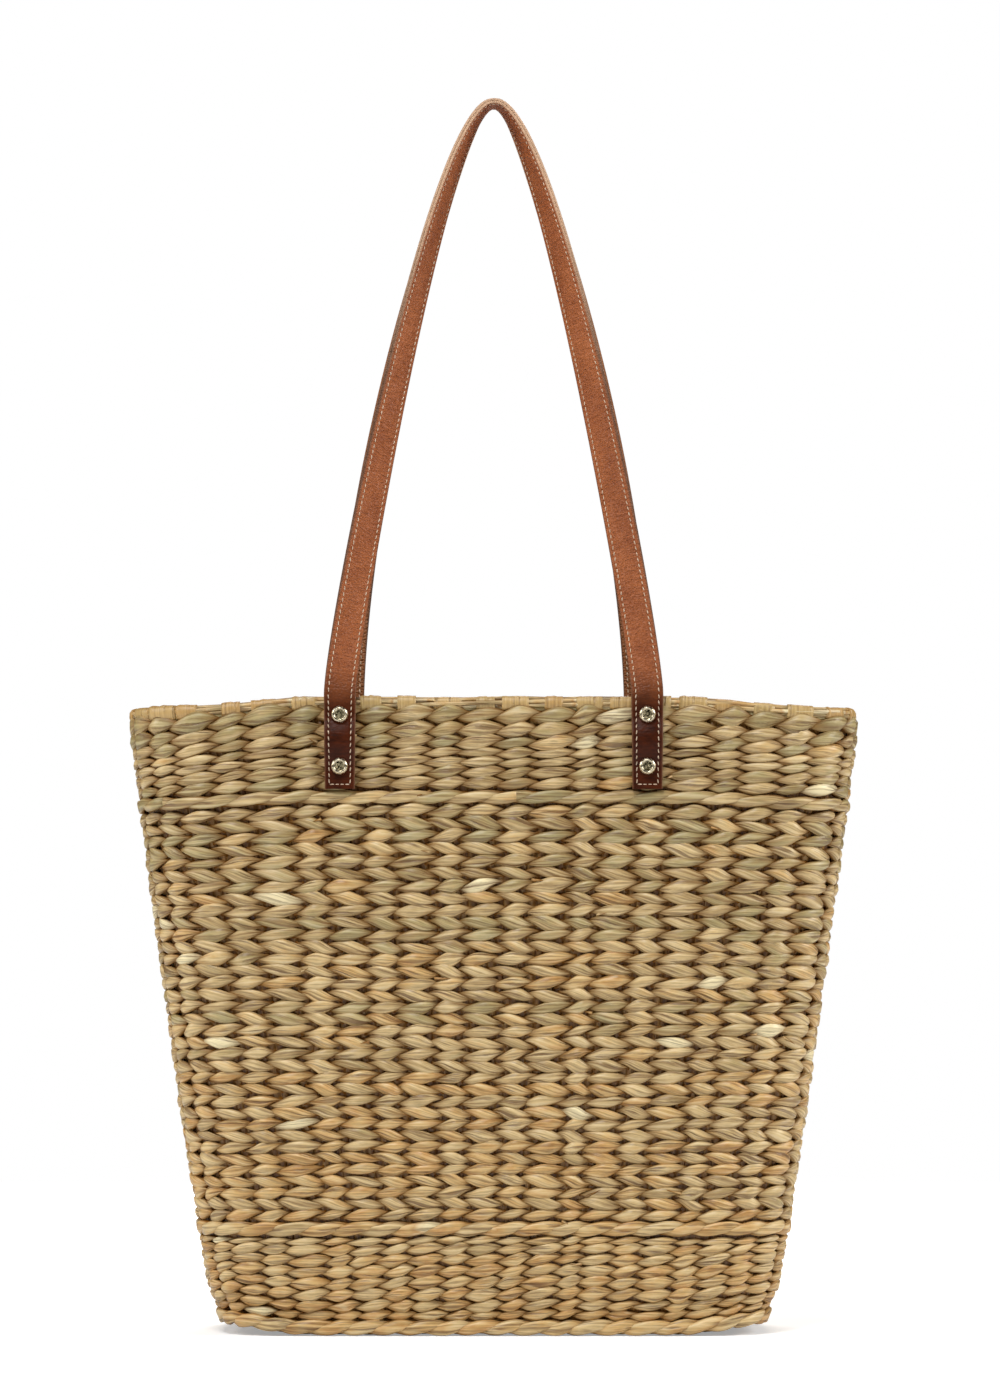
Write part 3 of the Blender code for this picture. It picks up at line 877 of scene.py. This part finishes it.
def inside_rows(node, slot, rows, slants):
    """The inner face of a band: in each row one stitch behind each stake, nose to tail all the way round."""
    bundle = Bundle()
    stake = np.linspace(0, STAKES, STAKES * INSIDE_STEPS + 1)
    shares = share_at(stake)
    bulge = np.abs(np.cos(math.pi * stake)) ** INSIDE_BULGE_POWER
    swing = -INSIDE_SWING * grown(bulge, *INSIDE_SWINGS)
    for (z, half_height), slant in zip(rows, slants):
        plump = chance.normal(1, INSIDE_PLUMP_SPREAD, STAKES + 1)
        plump = np.interp(stake, np.arange(STAKES + 1), plump)
        climb = row_wave(shares, z) - slant * CLIMB_SHARE * half_height * np.sin(2 * math.pi * stake)
        tint = straw_tints(STAKES + 1, z)[np.rint(stake).astype(int)]
        half_up = half_height * grown(bulge, *INSIDE_HEIGHTS) * plump
        half_out = STRAND_HALF_THICKNESS * grown(bulge, *INSIDE_THICKNESSES)
        line = wall_frame(shares, z, WALL / 2)
        bundle.lay(line, half_out, half_up, tint, INSIDE_SIDES, swing=swing, climb=climb)
    bundle.piece(node + "_inside", RUSH, slot, node)


def make_inside():
    for node, rows, slants, _, _ in woven_bands():
        inside_rows(node, "twined_straw", rows, slants)
    for node in ("lower_rope_band", "upper_rope_band"):
        inside_rows(node, "straw_rope", band_rows(node, (1.0, 1.0)), (1, 1))


def make_stakes():
    """Flat upright rushes, side by side in the twining: dark towards its gaps as painted shade, lighter
    inside.
    """
    bundle = Bundle()
    inside = np.cos(np.arange(STAKE_SIDES) * 2 * math.pi / STAKE_SIDES) < 0
    heights = np.linspace(WEAVE_BOTTOM, SEAT_TOP, STAKE_STEPS)
    for straw in range(STAKE_STRAWS * STAKES):
        share = share_at(np.array([straw / STAKE_STRAWS]))
        frames = [wall_frame(share, z, WALL / 2 + STAKE_SET_BACK) for z in heights]
        middle, out, up = (np.concatenate(rows) for rows in zip(*frames))
        # The faces towards the gaps take the darkest tints, as painted shade in the gaps
        tint = np.where(inside, INNER_STAKE_TINT, chance.uniform(*GAP_SHADE_STAKE_TINTS))[None]
        line = (middle, out, np.cross(up, out))
        bundle.lay(line, STAKE_HALF_THICKNESS, STAKE_HALF_WIDTH, tint, STAKE_SIDES)
    bundle.piece("upright_stakes", STAKE_RUSH, "twined_straw")


def make_stray_ends():
    """Short frayed ends of straw that stick out where one straw gives way to the next."""
    bundle = Bundle()
    steps = np.linspace(0, 1, STRAY_STEPS)
    width = STRAY_HALF_WIDTH * (STRAY_TAPER - steps)
    for _ in range(STRAY_ENDS):
        z = chance.uniform(*STRAY_HEIGHTS)
        share = share_at(np.array([int(chance.integers(0, STAKES)) + 0.5]))
        middle, out, up = (v[0] for v in wall_frame(share, z, STRAY_INSET))
        along = np.cross(up, out)
        lean = chance.uniform(-STRAY_LEAN, STRAY_LEAN)
        heading = along * chance.choice((-1.0, 1.0)) * math.cos(lean) + up * math.sin(lean)
        length = chance.uniform(*STRAY_LENGTHS)
        lift = STRAY_LIFT * np.sin(steps * chance.uniform(*STRAY_CURLS))
        path = middle + heading * (steps * length)[:, None] + out * lift[:, None]
        line = (path, out, np.cross(out, heading))
        bundle.lay(line, width * STRAY_FLATNESS, width, chance.uniform(*STRAY_TINTS), STRAY_SIDES, False)
    bundle.piece("stray_straw_ends", RUSH, "twined_straw")


def wale_rope(node, proud):
    """Three strands laid round each other over the stakes, in the place of the solid rope."""
    z, radius = level_of(node)
    inset = radius - proud - tuck(z)
    lays = round(STAKES / ROPE_STRANDS)
    bundle = Bundle()
    for strand in range(ROPE_STRANDS):
        start = int(chance.integers(0, STAKES))
        stake = start + np.linspace(0, STAKES, STAKES * ROPE_STEPS + 1)
        turn = 2 * math.pi * (stake * lays / STAKES - strand / ROPE_STRANDS)
        tint = np.interp(stake, start + np.arange(0, STAKES + 2, 2), straw_tints(STAKES // 2 + 1, z))
        before = np.cos(turn)
        lift = np.sin(turn)
        swing = before * radius * ROPE_SWING
        half_up = radius * grown(before.clip(0) ** ROPE_FILL_POWER, *ROPE_HEIGHTS)
        half_out = radius * grown(np.abs(lift), *ROPE_THICKNESSES)
        line = wall_frame(share_at(stake), z, inset)
        climb = lift * radius * ROPE_LIFT
        bundle.lay(line, half_out, half_up, tint, ROPE_SIDES, swing=swing, climb=climb)
    bundle.piece(node + "_strands", RUSH, "straw_rope", node)


def make_ropes():
    wale_rope("foot_rope", 0.0)
    wale_rope("lower_rope_band", ROPE_PROUD)
    wale_rope("upper_rope_band", ROPE_PROUD)


def make_rim():
    """Thin straws along the rim, and the flat leaves that bind them down, one at each stake."""
    z, radius = level_of("rim_cord")
    straws = Bundle()
    stake = np.linspace(0, STAKES, STAKES * RIM_STEPS + 1)
    shares = share_at(stake)
    middle, out, up = wall_frame(shares, z, WALL / 2)
    for straw in range(RIM_STRAWS):
        turn = 2 * math.pi * (straw / RIM_STRAWS + RIM_TURNS * shares)
        wander = chance.normal(0, RIM_WANDER, STAKES + 1)
        ring_radius = radius - RIM_STRAW_HALF + np.interp(stake, np.arange(STAKES + 1), wander)
        aside = out * (np.cos(turn) * ring_radius)[:, None]
        above = up * (np.sin(turn) * ring_radius)[:, None]
        pale = chance.random(STAKES + 1) < RIM_PALE_SHARE
        tint = np.where(pale, 1.0, chance.uniform(*RIM_TINTS, STAKES + 1))[np.rint(stake).astype(int)]
        straws.lay((middle + aside + above, out, up), RIM_STRAW_HALF, RIM_STRAW_HALF, tint, RIM_SIDES)
    core = radius - 2 * RIM_STRAW_HALF + RIM_CORE_OVERLAP
    straws.lay((middle, out, up), core, core, RIM_CORE_TINT, RIM_SIDES, False)
    thick, tall = (core * share for share in UNDER_RIM_SECTION)
    drop = radius + UNDER_RIM_GAP
    straws.lay((middle, out, up), thick, tall, UNDER_RIM_TINT, UNDER_RIM_SIDES, climb=-drop)
    straws.piece("rim_straws", RUSH, "straw_rope", "rim_cord")

    leaves = Bundle()
    length = gone_along(middle)[-1]
    for i in range(STAKES):
        width = LEAF_WIDTH * chance.uniform(*LEAF_WIDTH_SHARES)
        here = share_at(np.array([i + chance.uniform(-LEAF_ASIDE, LEAF_ASIDE)]))
        line = wall_frame(here + np.array(LEAF_PLACES) * width / length, z, WALL / 2)
        creases = chance.uniform(*LEAF_CREASES, len(LEAF_PROFILE))
        fat = LEAF_HALF * np.array(LEAF_PROFILE) * creases * chance.uniform(*LEAF_HALF_SHARES)
        tint = chance.choice(LEAF_TINTS, p=LEAF_TINT_SHARES)
        leaves.lay(line, fat, fat + LEAF_DROP, tint, LEAF_SIDES, False, "round", climb=-LEAF_DROP)
    leaves.piece("rim_leaf_bindings", LEAF, "straw_rope")


def make_base():
    """Rings of twining that close the bottom, over the flat ends of the stakes."""
    z = level_of("base_mat")[0]
    bundle = Bundle()
    form = (BASE_HALF_THICKNESS, BASE_SWING)
    first_inset = FOOT_HALF_DEPTH + WALL_BOW * 4 * z / BAG_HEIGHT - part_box("base_mat")[1].y
    for i in range(BASE_RINGS):
        inset = first_inset - BASE_RING_START + RING_STEP * (i + 0.5)
        crossings = crossing_shares(2 * round(ring(z, inset)[1][-1] / BASE_STITCH / 2))
        twined_row(bundle, base_frame, z, inset, crossings, 1, RING_STEP / 2, PLAIN_STITCH, form)
    down, along_x, along_y = (0.0, 0.0, -1.0), (1.0, 0.0, 0.0), (0.0, 1.0, 0.0)
    heart = np.linspace((-FOOT_STRAIGHT, 0.0, z), (FOOT_STRAIGHT, 0.0, z), BASE_STEPS)
    tint = straw_tints(BASE_STEPS, z)
    bundle.lay((heart, down, along_y), BASE_HALF_THICKNESS, BASE_HEART_HALF, tint, STRAND_SIDES)
    bundle.piece("base_rings", RUSH, "twined_straw", "base_mat")

    floor = Bundle()
    edge = ring(z, first_inset - BASE_TUCKED_IN)[0]
    back = edge[edge[:, 1] > 0]
    order = np.argsort(back[:, 0])
    wide = BASE_STRAW_STEP * BASE_STRAW_SHARE
    for x in np.arange(-back[:, 0].max() + BASE_STRAW_STEP / 2, back[:, 0].max(), BASE_STRAW_STEP):
        reach = np.interp(x, back[order, 0], back[order, 1])
        path = np.linspace((x, -reach, z), (x, reach, z), BASE_STEPS)
        tint = chance.uniform(*BASE_STRAW_TINTS)
        floor.lay((path, down, along_x), STAKE_HALF_THICKNESS, wide, tint, STAKE_SIDES)
    floor.piece("base_stakes", STAKE_RUSH, "twined_straw")


# Straps


def half_strap(rise, leg_reach, top_reach, twist_power):
    """Middle line, face direction and width direction of a strap's left half, from its end to the top."""
    heights = np.linspace(0, TAB_LENGTH, TAB_STEPS)[:-1]
    left = np.array((-STRAP_HALF_SPACING, 0.0, 0.0))
    tab = SEAT_ORIGIN + left + SEAT_UP * heights[:, None] + SEAT_OUT * STRAP_MIDDLE_OUT
    foot = FOLD_LINE + left - SEAT_OUT * FOLD_RADIUS
    top = np.array((0.0, -(TOPS_HALF_GAP + STRAP_WIDTH / 2), FOLD_LINE[2] + rise))
    bend = foot + SEAT_UP * leg_reach
    brow = top - np.array((top_reach, 0.0, 0.0))
    t = np.linspace(0, 1, LEG_STEPS)[:, None]
    leg = foot * (1 - t) ** 3 + bend * 3 * (1 - t) ** 2 * t + brow * 3 * (1 - t) * t * t + top * t ** 3
    slope = (bend - foot) * (1 - t) ** 2 + (brow - bend) * 2 * (1 - t) * t + (top - brow) * t * t
    middle = np.concatenate((tab, leg))
    along = np.concatenate((np.broadcast_to(SEAT_UP, tab.shape), unit(slope)))
    front = np.array((0.0, -1.0, 0.0))
    front = unit(front - along * (front * along).sum(axis=1, keepdims=True))
    inward = np.cross(along, front)
    twist = math.pi / 2 * np.concatenate((np.zeros((len(tab), 1)), t)) ** twist_power
    face = front * np.cos(twist) + inward * np.sin(twist)
    return middle, face, np.cross(face, along)


class StrapLine:
    """A whole strap's middle line and directions, read at any length from its first end."""

    def __init__(self, rise, leg_reach, top_reach, first_power, last_power):
        first = half_strap(rise, leg_reach, top_reach, first_power)
        mirror = np.array((-1.0, 1.0, 1.0))
        last = [(rows * mirror)[::-1][1:] for rows in half_strap(rise, leg_reach, top_reach, last_power)]
        self.rows = [np.concatenate(pair) for pair in zip(first, last)]
        self.marks = gone_along(self.rows[0])
        self.length = self.marks[-1]

    def from_end(self, lengths):
        return np.minimum(lengths, self.length - lengths)

    def at(self, lengths):
        """Middle points, face directions and width directions at these lengths."""
        middle, face, across = (read_at(lengths, self.marks, rows) for rows in self.rows)
        share = (self.from_end(lengths) - LOWER_RIVET_HEIGHT) / (UPPER_RIVET_HEIGHT - LOWER_RIVET_HEIGHT)
        belly = BELLY * np.sin(math.pi * share.clip(0, 1)) ** BELLY_POWER
        return middle + unit(face) * belly[:, None], unit(face), unit(across)

    def half_width(self, lengths):
        return STRAP_WIDTH / 2 * (1 - TAB_NARROWING * (1 - self.from_end(lengths) / TAB_LENGTH).clip(0, 1))

    def painted_edge_light_share(self, lengths):
        """1 round the loop's top, where the cut edges are painted pale as a highlight from above, falling to
        0 down the legs.
        """
        return 1 - eased(np.abs(lengths - self.length / 2), PAINTED_LIT_EDGE_REACH, BROWN_EDGE_REACH)

    def tab_share(self, lengths):
        """1 on the riveted ends, falling to 0 above the rim."""
        return 1 - eased(self.from_end(lengths), UPPER_RIVET_HEIGHT, UPPER_RIVET_HEIGHT + TAB_FADE)


STRAPS = {
    "front": StrapLine(FRONT_RISE, FRONT_LEG_REACH, FRONT_TOP_REACH, LEFT_TWIST_POWER, RIGHT_TWIST_POWER),
    "back": StrapLine(BACK_RISE, BACK_LEG_REACH, BACK_TOP_REACH, RIGHT_TWIST_POWER, LEFT_TWIST_POWER),
}


def ply_profile(crown):
    """Half of a ply's section, from its inner edge to its middle: inset from the edge, level, cut edge."""
    return (
        (0.0003, 0.00003, 1.0),
        (0.0000, 0.00030, 1.0),
        (0.0000, 0.00110, 1.0),
        (0.0003, 0.00148, 0.6),
        (0.0009, PLY, 0.0),
        (STITCH_INSET - 0.0005, PLY - 0.00006, 0.0),
        (STITCH_INSET, PLY - 0.00028, 0.0),
        (STITCH_INSET + 0.0005, PLY - 0.00006, 0.0),
        (STITCH_INSET + 0.0014, PLY + crown * 0.55, 0.0),
        (STITCH_INSET + 0.0035, PLY + crown * 0.9, 0.0),
    )


def turned_round(points, side):
    """The front strap's points, or the same points half a turn round for the back strap."""
    return points if side == "front" else points * np.array((-1.0, -1.0, 1.0))


def finish_strap_piece(made, side):
    """Normals, shading and the baked transform that every piece of a strap shares."""
    bpy.ops.object.select_all(action="DESELECT")
    bpy.context.view_layer.objects.active = made
    made.select_set(True)
    bpy.ops.object.mode_set(mode="EDIT")
    bpy.ops.mesh.select_all(action="SELECT")
    bpy.ops.mesh.normals_make_consistent(inside=False)
    bpy.ops.object.mode_set(mode="OBJECT")
    bpy.ops.object.shade_smooth_by_angle(angle=SMOOTH_ANGLE)
    if side == "front":
        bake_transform(made)
    else:
        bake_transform(made)


def make_ply(side, layer, material, crown):
    """One leather ply of a strap, from end to end. The face layer lies outside the lining."""
    strap = STRAPS[side]
    lengths = np.linspace(0, strap.length, round(strap.length / STRAP_STEP) + 1)
    middle, face, across = strap.at(lengths)
    half_width = strap.half_width(lengths)
    half = ply_profile(crown)
    section = [(-1, *row) for row in half] + [(0, 0.0, PLY + crown, 0.0)] + [(1, *row) for row in half[::-1]]
    direction = 1 if layer == "face" else -1
    columns = []
    hide = []
    for edge_side, inset, level, _ in section:
        offset = edge_side * (half_width - inset)
        columns.append(middle + across * offset[:, None] + face * (direction * level))
        hide.append(np.stack((lengths, offset, np.full_like(lengths, direction * level)), axis=1))
    points = turned_round(np.stack(columns, axis=1).reshape(-1, 3), side)
    count = len(section)
    faces = tube_faces(len(lengths), count, 0)
    made = new_piece(f"{side}_strap_{layer}_leather", points, faces, material)
    write(made, "hide", np.stack(hide, axis=1).reshape(-1, 3))
    write(made, "tab", np.repeat(strap.tab_share(lengths), count))
    # Where the cut edges carry their painted highlight
    write(made, "rubbed", np.repeat(strap.painted_edge_light_share(lengths), count))
    write(made, "cut_edge", np.tile([row[3] for row in section], len(lengths)))
    finish_strap_piece(made, side)
    ends = [f"{side}_{end}_tab_{layer}" for end in ("left", "right")]
    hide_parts(f"{side}_strap_{layer}", *ends)


def make_stitching(side):
    """Saddle stitches down both edges of both faces, and across each end of the face."""
    strap = STRAPS[side]
    points = []
    faces = []

    def sew(centre, heading, away, beside):
        faces.extend(tube_faces(len(STITCH_SHAPE), STITCH_SIDES, len(points)))
        for place, fat in STITCH_SHAPE:
            dip = -THREAD_RADIUS * STITCH_DIP * (2 * place) ** 2
            for k in range(STITCH_SIDES):
                angle = 2 * math.pi * k / STITCH_SIDES
                swing = beside * math.cos(angle) + away * math.sin(angle)
                spine = centre + heading * place * STITCH_LENGTH + away * dip
                points.append(spine + swing * THREAD_RADIUS * fat)

    count = int((strap.length - 2 * STITCH_INSET) / STITCH_PITCH)
    lengths = STITCH_INSET + (np.arange(count) + 0.5) * (strap.length - 2 * STITCH_INSET) / count
    middle, face, across = strap.at(lengths)
    heading = np.cross(across, face)
    offset = strap.half_width(lengths) - STITCH_INSET
    level = PLY - STITCH_SUNK
    for i in range(count):
        for edge_side in (-1, 1):
            for layer in (-1, 1):
                away = face[i] * layer
                slew = heading[i] + across[i] * STITCH_SLEW * edge_side
                sew(middle[i] + across[i] * edge_side * offset[i] + away * level, slew, away, across[i])
    for end in (STITCH_INSET, strap.length - STITCH_INSET):
        middle, face, across = (rows[0] for rows in strap.at(np.array([end])))
        reach = strap.half_width(np.array([end]))[0] - STITCH_INSET
        reach -= STITCH_PITCH / 2
        for place in np.linspace(-reach, reach, END_STITCHES):
            centre = middle + across * place + face * (PLY + END_STITCH_PROUD)
            sew(centre, across, face, np.cross(across, face))
    made = new_piece(side + "_strap_stitching", turned_round(np.array(points), side), faces, THREAD)
    finish_strap_piece(made, side)


def make_straps():
    for side in ("front", "back"):
        make_ply(side, "face", FACE_LEATHER, FACE_CROWN)
        make_ply(side, "lining", LINING_LEATHER, LINING_CROWN)
        make_stitching(side)


# Rivets and patches


def seat_turn(side):
    """The turn that makes a piece, modelled looking up along +Z, look straight out of the wall."""
    lean = Matrix.Rotation(math.pi / 2 + WALL_LEAN, 4, "X")
    return lean if side == "front" else Matrix.Rotation(math.pi, 4, "Z") @ lean


def seat(made, node, side):
    """Puts a finished piece where its solid lies, and leaves the object itself at the origin, unturned."""
    low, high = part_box(node)
    made.data.transform(Matrix.Translation((low + high) / 2) @ seat_turn(side))
    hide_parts(node)
    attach(made, "basket")


def round_edges(made, width, segments):
    rounding = made.modifiers.new("rounding", "BEVEL")
    rounding.width = width
    rounding.segments = segments
    rounding.limit_method = "ANGLE"
    bpy.ops.object.modifier_apply(modifier=rounding.name)


def make_rivet_cap(node, side):
    """A stamped cap: a rounded rim with a notched edge, and a sunk hammered middle."""
    bpy.ops.mesh.primitive_cylinder_add(vertices=CAP_NOTCHES * 2, radius=CAP_RADIUS, depth=CAP_EDGE)
    cap = bpy.context.object
    cap.name = node + "_stamped"
    bpy.ops.object.mode_set(mode="EDIT")
    bpy.ops.mesh.select_all(action="DESELECT")
    bpy.ops.object.mode_set(mode="OBJECT")
    for face in cap.data.polygons:
        face.select = face.normal.z > 0.9
    bpy.ops.object.mode_set(mode="EDIT")
    for inset, lift in CAP_STEPS:
        bpy.ops.mesh.inset(thickness=inset)
        bpy.ops.transform.translate(value=(0.0, 0.0, lift))
    bpy.ops.object.mode_set(mode="OBJECT")
    for vertex in cap.data.vertices:
        radius = math.hypot(vertex.co.x, vertex.co.y)
        step = round(math.atan2(vertex.co.y, vertex.co.x) / math.pi * CAP_NOTCHES)
        if radius > CAP_RADIUS * NOTCHED_FROM and step % 2:
            vertex.co.x *= 1 - NOTCH_DEPTH / radius
            vertex.co.y *= 1 - NOTCH_DEPTH / radius
    round_edges(cap, CAP_ROUNDING, 2)
    bpy.ops.object.shade_smooth()
    radii = [math.hypot(vertex.co.x, vertex.co.y) for vertex in cap.data.vertices]
    write(cap, "sunk", [1.0 if radius < CAP_RADIUS * SUNK_WITHIN else 0.0 for radius in radii])
    cap.data.materials.append(NICKEL)
    seat(cap, node, side)


def make_patch(node, side):
    """A small leather plate inside the wall, which the rivets' heads bear on."""
    low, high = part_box(node)
    bpy.ops.mesh.primitive_cube_add(size=1.0)
    patch = bpy.context.object
    patch.name = node + "_leather"
    size = (high.x - low.x, (high.z - low.z) / math.cos(WALL_LEAN), PATCH_THICKNESS, 1.0)
    patch.data.transform(Matrix.Diagonal(size))
    round_edges(patch, PATCH_THICKNESS * PATCH_ROUNDING, 3)
    bpy.ops.object.shade_smooth_by_angle(angle=SMOOTH_ANGLE)
    write(patch, "hide", [(vertex.co.y, vertex.co.x, vertex.co.z) for vertex in patch.data.vertices])
    patch.data.materials.append(LINING_LEATHER)
    seat(patch, node, side)


def make_fittings():
    for side in ("front", "back"):
        for end in ("left", "right"):
            make_patch(f"{side}_{end}_backing_patch", side)
            for level in ("upper", "lower"):
                make_rivet_cap(f"{side}_{end}_{level}_rivet_cap", side)
                post = bpy.data.objects[f"{side}_{end}_{level}_rivet_post"]
                post.material_slots[0].material = NICKEL


# Camera, light and floor


def make_stage():
    """A white sweep that shows white to the camera but keeps the bag's shadow."""
    bpy.ops.mesh.primitive_plane_add(size=FLOOR_SIZE)
    floor = bpy.context.object
    floor.name = "floor"
    material, tree, shader = new_material("white_paper_sweep")
    seen = add_node(tree, "LightPath", {}, None, "Is Camera Ray")
    place = add_node(tree, "TexCoord", {}, None, "Object")
    away = add_node(tree, "VectorMath", {"operation": "LENGTH"}, {0: place}, "Value")
    limits = {"From Min": SHADOW_REACH, "From Max": 3 * SHADOW_REACH, "To Min": FLOOR_GLOW, "To Max": 1.0}
    paper = add_node(tree, "MapRange", limits, {"Value": away})
    glow = add_node(tree, "Math", {"operation": "MULTIPLY"}, {0: seen, 1: paper})
    matt = {"Base Color": colour("#ECECEC"), "Roughness": 1.0, "Specular IOR Level": 0.0}
    matt["Emission Color"] = colour("#FFFFFF")
    set_up(tree, shader, matt, {"Emission Strength": glow})
    floor.data.materials.append(material)

    world = bpy.data.worlds.new("white_studio")
    bpy.context.scene.world = world
    world.use_nodes = True
    tree = world.node_tree
    tree.nodes.clear()
    seen = add_node(tree, "LightPath", {}, None, "Is Camera Ray")
    lighting = add_node(tree, "Background", {"Color": colour("#FFFFFF"), "Strength": ROOM_LIGHT})
    backdrop = add_node(tree, "Background", {"Color": colour("#FFFFFF"), "Strength": 1.0})
    mixed = add_node(tree, "MixShader", {}, {0: seen, 1: lighting, 2: backdrop})
    set_up(tree, tree.nodes.new("ShaderNodeOutputWorld"), {}, {"Surface": mixed})


def aimed(name, data, place, aim):
    """A lamp or camera that stands at one place and looks at another."""
    made = bpy.data.objects.new(name, data)
    bpy.context.collection.objects.link(made)
    made.location = place
    made.rotation_euler = (Vector(aim) - Vector(place)).to_track_quat("-Z", "Y").to_euler()
    return made


def make_lights():
    for name, place, size, power in (
        ("overhead_softbox", (-0.7, -2.2, 3.0), 1.2, 84.0),
        ("back_softbox", (0.3, 2.1, 3.0), 1.5, 64.0),
        ("left_softbox", (-2.6, -0.5, 1.6), 1.2, 33.0),
        ("right_softbox", (2.6, -0.5, 1.6), 1.2, 54.0),
    ):
        lamp = bpy.data.lights.new(name, "AREA")
        lamp.shape = "SQUARE"
        lamp.size = size
        lamp.energy = power
        aimed(name, lamp, place, LIGHT_AIM)


def make_camera():
    lens = bpy.data.cameras.new("photo_camera")
    lens.sensor_fit = "VERTICAL"
    lens.sensor_height = CAMERA_SENSOR
    lens.lens = CAMERA_LENS
    bpy.context.scene.camera = aimed("photo_camera", lens, CAMERA_PLACE, CAMERA_AIM)


make_weave()
make_stakes()
make_stray_ends()
make_ropes()
make_rim()
make_base()
make_inside()
make_straps()
make_fittings()
make_stage()
make_lights()
make_camera()
bpy.context.scene.view_settings.view_transform = "Standard"
